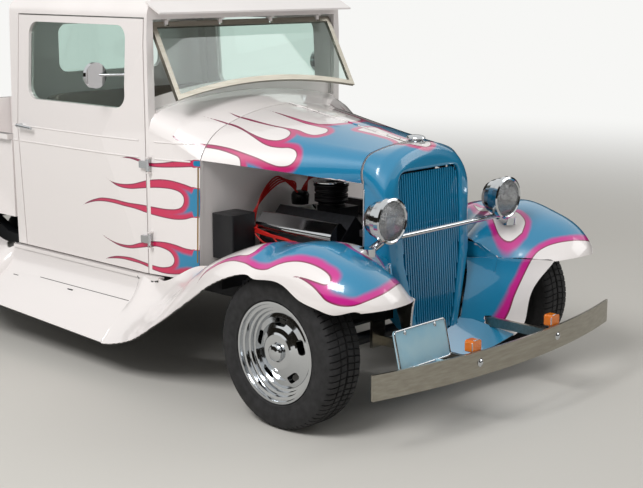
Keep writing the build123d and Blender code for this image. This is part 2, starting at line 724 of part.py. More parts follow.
# Door trim: outside handle, hinges and the round mirror on its arm
HANDLE_Y = 1904.0
HANDLE_Z = 1047.0
MIRROR = (716.0, 1205.0, 1327.0)
trim = rod((630, HANDLE_Y, HANDLE_Z), (668, HANDLE_Y, HANDLE_Z), 9)
trim += rod((664, HANDLE_Y + 8, HANDLE_Z), (664, HANDLE_Y - 112, HANDLE_Z - 6), 8)
for z in HINGE_ZS:
    barrel = rod((HINGE_PIN_X, HINGE_PIN_Y, z - 26), (HINGE_PIN_X, HINGE_PIN_Y, z + 26), 8)
    barrel += block(HINGE_PIN_X - 4, HINGE_PIN_X + 4, HINGE_PIN_Y, DOOR_Y0 + 26, z - 16, z + 16)
    bore = rod((HINGE_PIN_X, HINGE_PIN_Y, z - 40), (HINGE_PIN_X, HINGE_PIN_Y, z + 40), HINGE_PIN_R + FIT_GAP)
    trim += barrel - bore
    trim += block(SIDE_X - 6, HINGE_PIN_X + 4, DOOR_Y0 + 6, DOOR_Y0 + 26, z - 16, z + 16)
trim += rod((600, 1100, 1330), (MIRROR[0] - 10, MIRROR[1], MIRROR[2]), 6)
trim += rod((MIRROR[0], MIRROR[1] - 14, MIRROR[2]), (MIRROR[0], MIRROR[1] + 6, MIRROR[2]), 57)
trim = trim - door - door_glass
save("door_trim_l", trim)
save("door_trim_r", across(trim))

# Screen: top-hung frame, its lower rail bowed upwards, standing open
SCREEN_OPEN = 28.6
SCREEN_SHUT = 3.0
FRAME_HALF = 566.0
FRAME_DROP = 372.0
FRAME_BOW = 58.0
FRAME_BAR = 26.0
FRAME_DEEP = 18.0


def screen_face(inset, bow):
    half = FRAME_HALF - inset
    low = -FRAME_DROP + inset
    return make_face(
        Polyline((-half, low), (-half, -inset), (half, -inset), (half, low))
        + ThreePointArc((half, low), (0, low + bow), (-half, low))
    )


screen_plane = Plane(
    origin=(0, aft(SCREEN_PIN[0]), SCREEN_PIN[1]),
    x_dir=(1, 0, 0),
    z_dir=(0, -cos(radians(SCREEN_OPEN)), sin(radians(SCREEN_OPEN))),
)
outer_frame = extrude(screen_plane * screen_face(0, FRAME_BOW), FRAME_DEEP / 2, both=True)
inner_frame = extrude(screen_plane * screen_face(FRAME_BAR, FRAME_BOW), FRAME_DEEP, both=True)
screen_frame = outer_frame - inner_frame
for x in LUG_XS:
    screen_frame -= rod((x - LUG_HALF - 5, *SCREEN_PIN), (x + LUG_HALF + 5, *SCREEN_PIN), 24)
screen_frame += rod((-FRAME_HALF, *SCREEN_PIN), (FRAME_HALF, *SCREEN_PIN), SCREEN_PIN_R)
save("screen_frame", screen_frame)
save(
    "screen_glass",
    extrude(screen_plane * screen_face(FRAME_BAR, FRAME_BOW), GLASS / 2, both=True),
)
rear_glass = Pos(0, aft(CAB_REAR - 17), 1400) * Rot(90, 0, 0) * extrude(
    RectangleRounded(2 * REAR_HALF, 240, 50), GLASS / 2, both=True
)
save("rear_glass", rear_glass)

# Seat: bench cushion on a riser, raked backrest
SEAT_HALF = 520.0
seat = block(-SEAT_HALF, SEAT_HALF, 1400, 1900, CAB_BOTTOM + 18, 640)
cushion = fillet(block(-SEAT_HALF, SEAT_HALF, 1380, 1860, 630, 780).edges(), 40)
back = fillet(block(-SEAT_HALF, SEAT_HALF, -60, 60, 0, 470).edges(), 40)
back = Pos(0, aft(1850), 740) * Rot(-12, 0, 0) * Pos(0, -aft(0), 0) * back
seat = seat + cushion + back
save("seat", seat)

# Steering wheel on its column
WHEEL_PLACE = (300.0, 1300.0, 1080.0)
COLUMN_LEAN = 55.0
steer = rod(WHEEL_PLACE, (WHEEL_PLACE[0], 710, 570), 17)
axis_dir = Vector(0, 440, 380).normalized()
wheel_plane = Plane(origin=(WHEEL_PLACE[0], aft(WHEEL_PLACE[1]), WHEEL_PLACE[2]), z_dir=axis_dir)
steer += wheel_plane * Torus(185, 12)
steer += wheel_plane * Cylinder(38, 30)
for turn in (90, 210, 330):
    steer += wheel_plane * Rot(0, 0, turn) * Pos(95, 0, 0) * Box(180, 20, 8)
save("steering_wheel", steer - cowl)

# Front fenders: crowned sections that follow the wheel, then the skirt beside the grille
# Columns: station, crown height, lean, lip x, lip drop, crown x, inner x, inner drop
FENDER_ROWS = (
    (-500, 556, 80, 768, 75, 650, 476, 60),
    (-477, 600, 58, 795, 110, 658, 458, 92),
    (-430, 645, 40, 818, 150, 668, 432, 121),
    (-362, 685, 27, 838, 160, 678, 402, 149),
    (-286, 712, 20, 848, 165, 685, 358, 171),
    (-195, 738, 12, FENDER_X, 160, 690, 300, 140),
    (-60, 747, 0, FENDER_X, 127, 690, 305, 135),
    (100, 722, -10, FENDER_X, 104, 690, 345, 118),
    (275, 674, -20, FENDER_X, 100, 682, 405, 92),
    (400, 622, -27, FENDER_X, 112, 672, 455, 66),
    (516, 558, -31, FENDER_X, 124, 660, 505, 36),
)
BOARD_LIP_Z = 164.0
BOARD_SEAM_Z = 320.0
BOARD_Y0 = 1046.0
REAR_MEET = (
    (690, (FENDER_X, 297), (790, 358), (690, 430), (632, 478), (574, 520)),
    (800, (FENDER_X, 231), (786, 292), (690, 358), (644, 408), (618, 462)),
    (900, (FENDER_X, 191), (782, 255), (688, 326), (648, 374), (628, 438)),
    (1046, (FENDER_X, BOARD_LIP_Z), (780, 238), (684, BOARD_SEAM_Z), (646, 368), (628, 438)),
)


def biggest(shape):
    # The main solid of a cut, without the crumbs on the far side of the tool
    return max(shape.solids(), key=lambda solid: solid.volume)


def fender_wire(y, z, lean, xl, dl, xc, xi, di, wall=SKIN):
    lip = (xl, -dl)
    crown = (xc, 0)
    inner = (xi, -di)
    pts = [lip, arch_mid(crown, lip), crown, arch_mid(crown, inner), inner]
    return strip_face(pts, wall, upright(y, lean, z), 1)


fender_wires = [fender_wire(*row) for row in FENDER_ROWS]
for y, *pts in REAR_MEET:
    fender_wires.append(strip_face(pts, SKIN, upright(y), 1))
fender = sheet(fender_wires)
SKIRT_ROWS = (
    (222, 345, -332, 262, -248, 150, -176),
    (320, 400, -358, 310, -254, 185, -160),
    (420, 416, -374, 345, -262, 228, -146),
    (500, 454, -412, 384, -280, 262, -130),
    (549, 478, -440, 397, -288, 272, -116),
)
CHEEK_ROWS = (
    (490, 340, -226, 306, -120, 300, 8),
    (552, 356, -226, 310, -120, 301, 8),
    (617, 300, -166, 300, -80, 302, 8),
)
SILL_IN = 598.0
SILL_OUT = 634.0
SILL_Z0 = 424.0
SILL_Z1 = CAB_BOTTOM - MOVE_GAP - 1.0
IRON_X0 = 268.0
IRON_X1 = 286.0
IRON_Z0 = 262.0
IRON_Z1 = 302.0


def skirt_wire(z, xf, yf, xm, ym, xb, yb):
    return strip_face([(xf, yf), (xm, ym), (xb, yb)], SKIN, level(z), 1)


skirt = sheet([skirt_wire(*row) for row in SKIRT_ROWS])
cheek = sheet([skirt_wire(*row) for row in CHEEK_ROWS], True)
DOOR_SWEEP = 48.0
iron_way = block(IRON_X0 - 3, IRON_X1 + 3, -420, -120, IRON_Z0 - 3, IRON_Z1 + 3)
front_fender = fender - block(500, SIDE_X + DOOR_SWEEP, 905, BOARD_Y0 + 1, CAB_BOTTOM - MOVE_GAP, 560)
front_fender = front_fender + cheek
front_fender = front_fender + block(SILL_IN, SILL_OUT, 900, BOARD_Y0, SILL_Z0, SILL_Z1)
front_fender = front_fender - iron_way - frame
skirt = skirt - cheek - iron_way - frame
skirt = skirt - front_fender
front_fender = front_fender + skirt
save("front_fender_l", front_fender)
save("front_fender_r", across(front_fender))

# Front pan: curved valance under the grille between the two skirts
PAN_BACK = ((190, -164, 306), (0, -186, 262))
PAN_FRONT = ((339, -334, 224), (0, -275, 152))


def pan_wire(side, middle):
    dy, dz = side[1] - middle[1], side[2] - middle[2]
    rise = hypot(dy, dz)

    def place(p):
        return Vector(p[0], aft(middle[1]) + p[1] * dy / rise, middle[2] + p[1] * dz / rise)

    return strip_face([(-side[0], rise), (0, 0), (side[0], rise)], SKIN, place, 1)


pan = sheet([pan_wire(*PAN_BACK), pan_wire(*PAN_FRONT)], True)
pan = pan - front_fender - across(front_fender) - shell
for s in (1, -1):
    x0, x1 = sorted((s * (IRON_X0 - 3), s * (IRON_X1 + 3)))
    pan -= block(x0, x1, -420, -120, IRON_Z0 - 3, IRON_Z1 + 3)
pan = biggest(pan)
save("front_pan", pan)

# Running boards: apron and step in one sweep along the cab
BOARD_Y1 = 2030.0
BOARD_RISE = 40.0


def board_wire(y):
    # The apron's lip rises towards the rear, the step keeps its height
    lift = BOARD_RISE * (y - BOARD_Y0) / (BOARD_Y1 - BOARD_Y0)
    (xa, za), (xb, zb), *rest = REAR_MEET[-1][1:]
    return strip_face([(xa, za + lift), (xb, zb + lift / 2), *rest], SKIN, upright(y), 1)


board = sheet([board_wire(BOARD_Y0), board_wire(BOARD_Y1)], True)
board += block(SILL_IN, SILL_OUT, BOARD_Y0, BOARD_Y1, SILL_Z0, SILL_Z1)
save("running_board_l", board)
save("running_board_r", across(board))

# Rear fenders: the same kind of crowned sections round the rear wheels
REAR_ROWS = (
    (2330, 500, 44, 858, 120, 730, 582, 12),
    (2450, 606, 36, 862, 122, 736, 582, 14),
    (2580, 686, 24, 864, 126, 740, 582, 16),
    (2710, 732, 12, 865, 128, 742, 582, 18),
    (WHEELBASE, 748, 0, 865, 128, 742, 582, 18),
    (2990, 734, -12, 865, 128, 742, 582, 18),
    (3130, 682, -28, 864, 126, 740, 582, 18),
    (3245, 592, -46, 860, 120, 736, 582, 18),
    (3320, 480, -64, 852, 104, 730, 582, 18),
    (3350, 380, -80, 842, 80, 726, 582, 18),
)
rear_wires = [board_wire(BOARD_Y1)]
rear_wires.append(
    strip_face([(854, 250), (800, 320), (716, 372), (650, 410), (610, 446)], SKIN, upright(2150, 10), 1)
)
rear_wires += [fender_wire(*row) for row in REAR_ROWS]
rear_fender = sheet(rear_wires)

GATE_PIN = (LENGTH - BUMPER_AHEAD - 14.0, 580.0)
GATE_PIN_R = 7.0
# Bed: hollow box with floor, rolled rails and a rear sill
BED_HALF = 586.0
BED_Y0 = 2078.0
BED_Y1 = LENGTH - BUMPER_AHEAD - 36.0
BED_FLOOR = 585.0
BED_TOP = 985.0
BED_WALL = 16.0
bed = block(-BED_HALF, BED_HALF, BED_Y0, BED_Y1, BED_FLOOR - 20, BED_TOP)
bed -= block(
    -BED_HALF + BED_WALL, BED_HALF - BED_WALL, BED_Y0 + BED_WALL, BED_Y1 + 10, BED_FLOOR, BED_TOP + 9
)
for s in (1, -1):
    x0, x1 = sorted((s * (BED_HALF - BED_WALL), s * (BED_HALF + 26)))
    bed += block(x0, x1, BED_Y0, BED_Y1, BED_TOP - 26, BED_TOP)
    for y in (2240, 2700, 3160, 3620):
        x0, x1 = sorted((s * BED_HALF, s * (BED_HALF + 12)))
        bed += block(x0, x1, y, y + 60, 800, BED_TOP - 20)
for s in (1, -1):
    for y in (2480, 3560):
        x0, x1 = sorted((s * 470, s * 520))
        bed += block(x0, x1, y, y + 60, RAIL_Z1 + KICK - 45, BED_FLOOR)
for s in (1, -1):
    x0, x1 = sorted((s * (BED_HALF - 4), s * (BED_HALF + 18)))
    ear = block(x0, x1, BED_Y1 - 60, BED_Y1, 566, 596)
    x0, x1 = sorted((s * (BED_HALF + 6), s * (BED_HALF + 18)))
    ear += block(x0, x1, BED_Y1 - 10, GATE_PIN[0] + 14, 566, 596)
    bed += ear - rod((x0 - 5, *GATE_PIN), (x1 + 5, *GATE_PIN), GATE_PIN_R + FIT_GAP)
save("bed", bed)
rear_fender = rear_fender - bed
save("rear_fender_l", rear_fender)
save("rear_fender_r", across(rear_fender))

# Tailgate: panel hinged along the bed floor
GATE_Y0 = BED_Y1 + 8.0
GATE_Y1 = LENGTH - BUMPER_AHEAD
gate = block(-BED_HALF, BED_HALF, GATE_Y0, GATE_Y1 - 8, BED_FLOOR - 14, BED_TOP - 4)
gate += block(-BED_HALF, BED_HALF, GATE_Y0, GATE_Y1, BED_TOP - 30, BED_TOP - 4)
gate += block(-BED_HALF, BED_HALF, GATE_Y0, GATE_Y1, BED_FLOOR - 14, BED_FLOOR + 14)
gate += rod((-BED_HALF - 20, *GATE_PIN), (BED_HALF + 20, *GATE_PIN), GATE_PIN_R)
save("tailgate", gate)

frame = frame - front_fender - across(front_fender) - board - across(board)
save("chassis_frame", frame)

# Front bumper: bowed flat bar on two irons
BUMPER_Z0 = 232.0
BUMPER_Z1 = 332.0
BUMPER_END = 795.0


def bumper_wire(z, back):
    pts = [(-BUMPER_END, -508 + back), (0, -608 + back), (BUMPER_END, -508 + back)]
    return strip_face(pts, 10, level(z), -1)


bumper = sheet([bumper_wire(BUMPER_Z0, 0), bumper_wire(BUMPER_Z1, 0)], True)
for s in (1, -1):
    x0, x1 = sorted((s * IRON_X0, s * IRON_X1))
    bumper += block(x0, x1, -600, -104, IRON_Z0, IRON_Z1)
    x0, x1 = sorted((s * IRON_X0, s * 346))
    bumper += block(x0, x1, -118, -104, IRON_Z0, 470)
bumper = bumper - frame
save("front_bumper", bumper)

# Headlamps: chrome bowls on stands and a cross bar, lenses in front
LAMP_X = 385.0
LAMP_Y = -255.0
LAMP_Z = 814.0
LAMP_R = 92.0
BOWL = (
    (0, 130), (22, 128), (42, 119), (60, 102), (73, 80), (82, 54), (86, 30), (LAMP_R, 24),
    (LAMP_R, 4), (84, 0), (78, 4), (78, 30), (70, 66), (54, 94), (34, 112), (0, 120),
)
bowl_face = make_face(Polyline(*BOWL, close=True))
bowl = revolve(bowl_face, Axis.Y)
lens_face = make_face(Polyline((0, -12), (50, -8), (77.5, 3), (77.5, 8), (50, -3), (0, -7), close=True))
lens = revolve(lens_face, Axis.Y)
lamps = None
lenses = []
for s in (1, -1):
    here = Pos(s * LAMP_X, aft(LAMP_Y), LAMP_Z)
    one = here * bowl
    one += rod((s * LAMP_X, -200, LAMP_Z - 60), (s * LAMP_X, -200, 722), 16)
    one += rod((s * LAMP_X, -200, 728), (s * 470, -196, 690), 16)
    one += rod((s * 470, -196, 712), (s * 470, -196, 680), 34)
    lamps = one if lamps is None else lamps + one
    lenses.append(here * lens)
lamps += rod((-LAMP_X, -200, 730), (LAMP_X, -200, 730), 11)
lamps = biggest(lamps - front_fender - across(front_fender))
save("headlamps", lamps)
save("headlamp_lenses", Compound(lenses))

# Turn lamps behind the bumper, tail lamps on the rear fenders, number plate
TURN_X = 270.0
TURN_Z = 349.0
turn = []
for s in (1, -1):
    lamp = block(*sorted((s * (TURN_X - 27), s * (TURN_X + 27))), -592, -552, TURN_Z - 24, TURN_Z + 24)
    lamp = fillet(lamp.edges().filter_by(Axis.Y), 10)
    lamp += rod((s * TURN_X, -568, TURN_Z), (s * TURN_X, -568, IRON_Z1), 7)
    turn.append(lamp)
save("turn_lamps", Compound(turn))
tail = []
for s in (1, -1):
    lamp = rod((s * 700, 3390, 560), (s * 700, 3424, 560), 46)
    lamp += rod((s * 700, 3396, 560), (s * 650, 3220, 560), 9)
    tail.append(lamp - rear_fender - across(rear_fender))
save("tail_lamps", Compound(tail))
PLATE_WIDE = 305.0
PLATE_HIGH = 152.0
PLATE_LEAN = 14.0
PLATE_AT = (-500.0, -504.0, 389.0)
PLATE_HOLE_R = 3.5
PLATE_SPAN = 178.0
PLATE_HOLE_UP = 60.0
plate = Box(PLATE_WIDE, 6, PLATE_HIGH)
plate = fillet(plate.edges().filter_by(Axis.Y), 12)
for x in (-PLATE_SPAN / 2, PLATE_SPAN / 2):
    plate -= Pos(x, 0, PLATE_HOLE_UP) * Rot(90, 0, 0) * Cylinder(PLATE_HOLE_R, 20)
plate = Pos(PLATE_AT[0], aft(PLATE_AT[1]), PLATE_AT[2]) * Rot(-PLATE_LEAN, 0, 0) * plate
for x in (-560, -440):
    behind = -604 + 100 * (x / BUMPER_END) ** 2
    plate += block(x - 9, x + 9, behind, -516, 316, 322)
save("number_plate", plate - bumper)

# Battery box on the firewall
BATTERY_BOX = (-486.0, -336.0, COWL_Y - 130, COWL_Y + 2, 545.0, 742.0)
battery = fillet(block(*BATTERY_BOX).edges().filter_by(Axis.Z), 16)
save("battery", battery)
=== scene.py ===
"""A closed-cab hot rod with flame paint, an open V8 and an opening windscreen."""

import math

import bmesh
import bpy
import numpy as np
from mathutils import Matrix, Vector
from mathutils.bvhtree import BVHTree


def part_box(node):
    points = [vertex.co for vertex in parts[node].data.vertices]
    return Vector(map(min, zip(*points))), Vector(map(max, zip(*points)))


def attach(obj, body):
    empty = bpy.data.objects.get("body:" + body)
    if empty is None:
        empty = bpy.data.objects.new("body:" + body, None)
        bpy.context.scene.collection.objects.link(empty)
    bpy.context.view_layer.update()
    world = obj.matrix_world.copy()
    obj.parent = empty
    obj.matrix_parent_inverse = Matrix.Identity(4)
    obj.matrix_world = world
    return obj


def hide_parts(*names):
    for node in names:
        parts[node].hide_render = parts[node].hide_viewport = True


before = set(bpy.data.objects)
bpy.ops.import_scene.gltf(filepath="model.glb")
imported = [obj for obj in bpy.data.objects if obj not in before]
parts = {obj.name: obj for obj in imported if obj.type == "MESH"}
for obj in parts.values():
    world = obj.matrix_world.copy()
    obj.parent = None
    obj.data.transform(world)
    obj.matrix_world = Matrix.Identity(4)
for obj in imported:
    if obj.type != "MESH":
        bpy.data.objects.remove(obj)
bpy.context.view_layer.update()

# Studio floor
# A pale seamless floor under the car, matt like painted board. Far out it glows as the
# white room does, so no horizon line shows.
def linear(hexcode):
    """The linear colour of an sRGB hex value."""
    channels = [int(hexcode[i:i + 2], 16) / 255 for i in (0, 2, 4)]
    return tuple(c / 12.92 if c <= 0.04045 else ((c + 0.055) / 1.055) ** 2.4 for c in channels) + (1.0,)


def node(tree, kind, inputs=None, **settings):
    """Adds a node with its settings, values and links."""
    made = tree.nodes.new(kind)
    for name, value in settings.items():
        setattr(made, name, value)
    for socket, value in (inputs or {}).items():
        if isinstance(value, bpy.types.NodeSocket):
            tree.links.new(value, made.inputs[socket])
        else:
            made.inputs[socket].default_value = value
    return made


def material(name, values):
    """A new Principled material with its plain values; returns it, its tree and its shader."""
    made = bpy.data.materials.new(name)
    made.use_nodes = True
    tree = made.node_tree
    shader = tree.nodes["Principled BSDF"]
    for socket, value in values.items():
        shader.inputs[socket].default_value = value
    return made, tree, shader


def mesh_object(name, bm):
    """Writes a finished bmesh to a new object at the origin."""
    mesh = bpy.data.meshes.new(name)
    bm.to_mesh(mesh)
    bm.free()
    made = bpy.data.objects.new(name, mesh)
    bpy.context.scene.collection.objects.link(made)
    return made


FLOOR_HALF = 60.0
FLOOR_NEAR = 3.2
FLOOR_FAR = 11.0
ROOM_WHITE = linear("F7F7F5")
floor_paint, tree, shader = material(
    "painted_board_floor", {"Base Color": linear("CFCCC6"), "Roughness": 0.9, "Specular IOR Level": 0.2})
from_car = node(tree, "ShaderNodeVectorMath", {
    0: node(tree, "ShaderNodeTexCoord").outputs["Object"]}, operation="LENGTH")
far_out = node(tree, "ShaderNodeMapRange", {
    "Value": from_car.outputs["Value"], "From Min": FLOOR_NEAR, "From Max": FLOOR_FAR},
    interpolation_type="SMOOTHSTEP")
glow = node(tree, "ShaderNodeEmission", {"Color": ROOM_WHITE})
blend_out = node(tree, "ShaderNodeMixShader", {
    0: far_out.outputs[0], 1: shader.outputs[0], 2: glow.outputs[0]})
tree.links.new(blend_out.outputs[0], tree.nodes["Material Output"].inputs["Surface"])
floor_mesh = bmesh.new()
bmesh.ops.create_grid(floor_mesh, x_segments=1, y_segments=1, size=FLOOR_HALF)
floor = mesh_object("floor", floor_mesh)
floor.data.materials.append(floor_paint)

# Camera
# It stands off the car's right front corner, a little above roof height, and looks
# down on the bonnet as the photograph does.
IMAGE_W = 643
IMAGE_H = 488
FOCAL_PX = 1316.13
CENTRE_PX = (319.28, 246.54)
SENSOR = 36.0
CAMERA_PLACE = (-4.25525, -5.18577, 1.76427)
HEADING = math.radians(46.286)
PITCH = math.radians(11.688)
level_ahead = Vector((math.sin(HEADING), math.cos(HEADING), 0))
ahead = level_ahead * math.cos(PITCH) - Vector((0, 0, math.sin(PITCH)))
camera_up = level_ahead * math.sin(PITCH) + Vector((0, 0, math.cos(PITCH)))
camera_right = Vector((math.cos(HEADING), -math.sin(HEADING), 0))
camera_data = bpy.data.cameras.new("camera")
camera_data.sensor_width = SENSOR
camera_data.lens = FOCAL_PX * SENSOR / IMAGE_W
camera_data.shift_x = (IMAGE_W / 2 - CENTRE_PX[0]) / IMAGE_W
camera_data.shift_y = (CENTRE_PX[1] - IMAGE_H / 2) / IMAGE_W
camera_data.clip_end = 200
camera = bpy.data.objects.new("camera", camera_data)
camera_turn = Matrix((camera_right, camera_up, -ahead)).transposed()
camera.matrix_world = Matrix.Translation(CAMERA_PLACE) @ camera_turn.to_4x4()
bpy.context.scene.collection.objects.link(camera)
bpy.context.scene.camera = camera
bpy.context.scene.view_settings.view_transform = "Standard"

# Studio light
# Soft even light from a white room, with one broad lamp high at the camera's left that
# gives the panels their long highlights, and a weaker one from the other side.
WORLD_LEVEL = 0.46
world = bpy.data.worlds.new("white_room")
world.use_nodes = True
bpy.context.scene.world = world
room = world.node_tree
paths = node(room, "ShaderNodeLightPath")
seen_camera_or_gloss = node(room, "ShaderNodeMath", {
    0: paths.outputs["Is Camera Ray"], 1: paths.outputs["Is Glossy Ray"]}, operation="MAXIMUM")
seen = node(room, "ShaderNodeMath", {
    0: seen_camera_or_gloss.outputs[0], 1: paths.outputs["Is Transmission Ray"]}, operation="MAXIMUM")
level = node(room, "ShaderNodeMapRange", {
    "Value": seen.outputs[0], "To Min": WORLD_LEVEL, "To Max": 1.0})
room.links.new(level.outputs[0], room.nodes["Background"].inputs["Strength"])
room.nodes["Background"].inputs["Color"].default_value = ROOM_WHITE


def softbox(name, place, aim, size, watts):
    """A square area lamp that points at a place on the car."""
    data = bpy.data.lights.new(name, "AREA")
    data.shape = "SQUARE"
    data.size = size
    data.energy = watts
    lamp = bpy.data.objects.new(name, data)
    lamp.location = place
    lamp.rotation_euler = (Vector(aim) - Vector(place)).to_track_quat("-Z", "Y").to_euler()
    bpy.context.scene.collection.objects.link(lamp)


softbox("key_lamp", (-6.0, -2.0, 6.5), (0, -0.3, 0.8), 3.0, 430)
softbox("fill_lamp", (5.0, -6.0, 5.0), (0, -0.5, 0.8), 4.0, 110)

# Horizon card
# A dark band set up round the car well outside the picture. It shows only in plating,
# glass and gloss, where a street's walls and ground would darken the reflections.
CARD_RADIUS = 9.0
CARD_LOW = 0.05
CARD_HIGH = 3.4
card_black, tree, shader = material(
    "dark_card", {"Base Color": linear("2A2621"), "Roughness": 1.0, "Specular IOR Level": 0.0})
band = bmesh.new()
bmesh.ops.create_cone(
    band, segments=64, radius1=CARD_RADIUS, radius2=CARD_RADIUS, depth=CARD_HIGH - CARD_LOW)
bmesh.ops.translate(band, verts=band.verts, vec=(0, 0, (CARD_LOW + CARD_HIGH) / 2))
card = mesh_object("horizon_card", band)
card.data.materials.append(card_black)
for kind in ("camera", "diffuse", "shadow", "transmission", "volume_scatter"):
    setattr(card, "visible_" + kind, False)


def dress(name, finish):
    """Gives every slot of a CAD piece the same finish."""
    for slot in parts[name].material_slots:
        slot.material = finish


# Chassis frame, axles, knuckles and the black box by the firewall
# Welded steel rails and cross members, a forged beam axle and a cast rear axle, sprayed
# with satin black chassis enamel that road dust has dulled in patches.
chassis_enamel, tree, shader = material(
    "chassis_enamel", {"Base Color": linear("16171A"), "Specular IOR Level": 0.5})
place = node(tree, "ShaderNodeTexCoord")
dust = node(tree, "ShaderNodeTexNoise", {"Vector": place.outputs["Object"], "Scale": 9.0, "Detail": 6.0})
dust_level = node(tree, "ShaderNodeMapRange", {
    "Value": dust.outputs["Fac"], "From Min": 0.35, "From Max": 0.75, "To Min": 0.34, "To Max": 0.62})
tree.links.new(dust_level.outputs[0], shader.inputs["Roughness"])
for name in ("chassis_frame", "front_axle", "rear_axle", "knuckle_l", "knuckle_r", "battery"):
    dress(name, chassis_enamel)

# Bright plated parts
# Polished chromium plate with the faintest polishing marks: lamps, wheels, door handles,
# mirrors, hinge leaves, valve covers and the steering wheel.
chrome, tree, shader = material(
    "chromium_plate", {"Base Color": linear("C6C9CC"), "Metallic": 1.0})
place = node(tree, "ShaderNodeTexCoord")
polish = node(tree, "ShaderNodeTexNoise", {
    "Vector": place.outputs["Object"], "Scale": 14.0, "Detail": 4.0})
polish_level = node(tree, "ShaderNodeMapRange", {
    "Value": polish.outputs["Fac"], "From Min": 0.3, "From Max": 0.8, "To Min": 0.04, "To Max": 0.16})
tree.links.new(polish_level.outputs[0], shader.inputs["Roughness"])
for name in ("headlamps", "wheel_fl", "wheel_fr", "wheel_rl", "wheel_rr", "door_trim_l", "door_trim_r",
             "valve_covers", "steering_wheel"):
    dress(name, chrome)

# Engine block, exhaust and radiator
# Cast iron and pressed steel under heat-proof black, and plain steel pipe. Castings have
# a sandy skin; the pipe is blotched by heat and dust.
def mixed(tree, share, first, second):
    """The colour that lies a share of the way from the first to the second."""
    return node(tree, "ShaderNodeMix", {0: share, 6: first, 7: second}, data_type="RGBA").outputs[2]


def grained(name, values, scale, dark, light, relief=0.0, stretch=(1, 1, 1)):
    """A material that drifts between two tones over a grain, with a relief if one is given."""
    made, tree, shader = material(name, values)
    place = node(tree, "ShaderNodeTexCoord")
    along = node(tree, "ShaderNodeMapping", {"Vector": place.outputs["Object"], "Scale": stretch})
    grain = node(tree, "ShaderNodeTexNoise", {"Vector": along.outputs[0], "Scale": scale, "Detail": 6.0})
    drift = node(tree, "ShaderNodeMapRange", {
        "Value": grain.outputs["Fac"], "From Min": 0.35, "From Max": 0.68})
    tone = mixed(tree, drift.outputs[0], linear(dark), linear(light))
    tree.links.new(tone, shader.inputs["Base Color"])
    if relief:
        raised = node(tree, "ShaderNodeBump", {"Height": grain.outputs["Fac"], "Distance": relief})
        tree.links.new(raised.outputs[0], shader.inputs["Normal"])
    return made


engine_black = grained("engine_enamel", {"Roughness": 0.38}, 60.0, "131416", "222327", 0.0012)
for name in ("engine", "radiator"):
    dress(name, engine_black)
pipe_steel = grained(
    "aluminised_steel_pipe", {"Metallic": 1.0, "Roughness": 0.38}, 16.0, "77736E", "9C9A96")
dress("exhaust", pipe_steel)

# Flame paint
# White enamel sprayed blue inside masked flame outlines, with a magenta border airbrushed
# along the mask and a dark pinstripe on its edge. Each panel is a finely divided copy of
# its CAD skin that carries the depth inside the outline at every vertex.
FRONT_AXLE_Y = -1.632
MM = 0.001
GRAIN = 0.009
BAND = 0.055
PASSES = 9
WELD = 1e-5
CHUNK = 4000
TINY = 1e-12
OUTSIDE = -0.1
INNER_FACE = -0.3
TURNED_IN = (-0.18, -0.22)
MASK_EDGE = (-0.0004, 0.0008)
PINSTRIPE_END = (0.0025, 0.007)
BORDER_FADE = (0.017, 0.037)
MIST = 0.003
PAINT = {"Roughness": 0.3, "Coat Weight": 1.0, "Coat Roughness": 0.03}
WHITE = linear("ECE6E4")
BLUE = linear("0A7FAA")


def between(t, p, q, r, s):
    """A Catmull-Rom value at a share t of the way from q to r."""
    cubic = 0.5 * (3 * (q - r) + s - p)
    square = p - 2.5 * q + 2 * r - 0.5 * s
    return q + t * (0.5 * (r - p) + t * (square + t * cubic))


def smooth_run(points, steps=4):
    """A Catmull-Rom curve through points, such as one edge of a lick."""
    ends = [points[0], *points, points[-1]]
    curve = []
    for a, b, c, d in zip(ends, ends[1:], ends[2:], ends[3:]):
        for k in range(steps):
            curve.append([between(k / steps, *values) for values in zip(a, b, c, d)])
    return curve + [list(points[-1])]


def closed_outline(runs, closing=()):
    """A closed outline: smooth runs that meet in sharp tips, closed off the panel."""
    return np.array([p for run in runs for p in smooth_run(run)] + [list(p) for p in closing]) * MM


def depth_inside(points, outline):
    """How deep each point lies inside a closed outline, negative outside it."""
    depth = np.empty(len(points))
    start = outline
    step = np.roll(outline, -1, axis=0) - start
    squared = np.maximum((step ** 2).sum(1), TINY)
    slope = step[:, 0] / np.where(step[:, 1] == 0, TINY, step[:, 1])
    for low in range(0, len(points), CHUNK):
        p = points[low:low + CHUNK, None, :]
        off = p - start
        along = np.clip((off * step).sum(2) / squared, 0, 1)
        gap = np.sqrt(((off - along[..., None] * step) ** 2).sum(2)).min(1)
        above = off[..., 1] >= 0
        ahead = off[..., 1] - step[:, 1] < 0
        crossed = (above == ahead) & (off[..., 0] < off[..., 1] * slope)
        inside = crossed.sum(1) % 2 == 1
        depth[low:low + CHUNK] = np.where(inside, gap, -gap)
    return depth


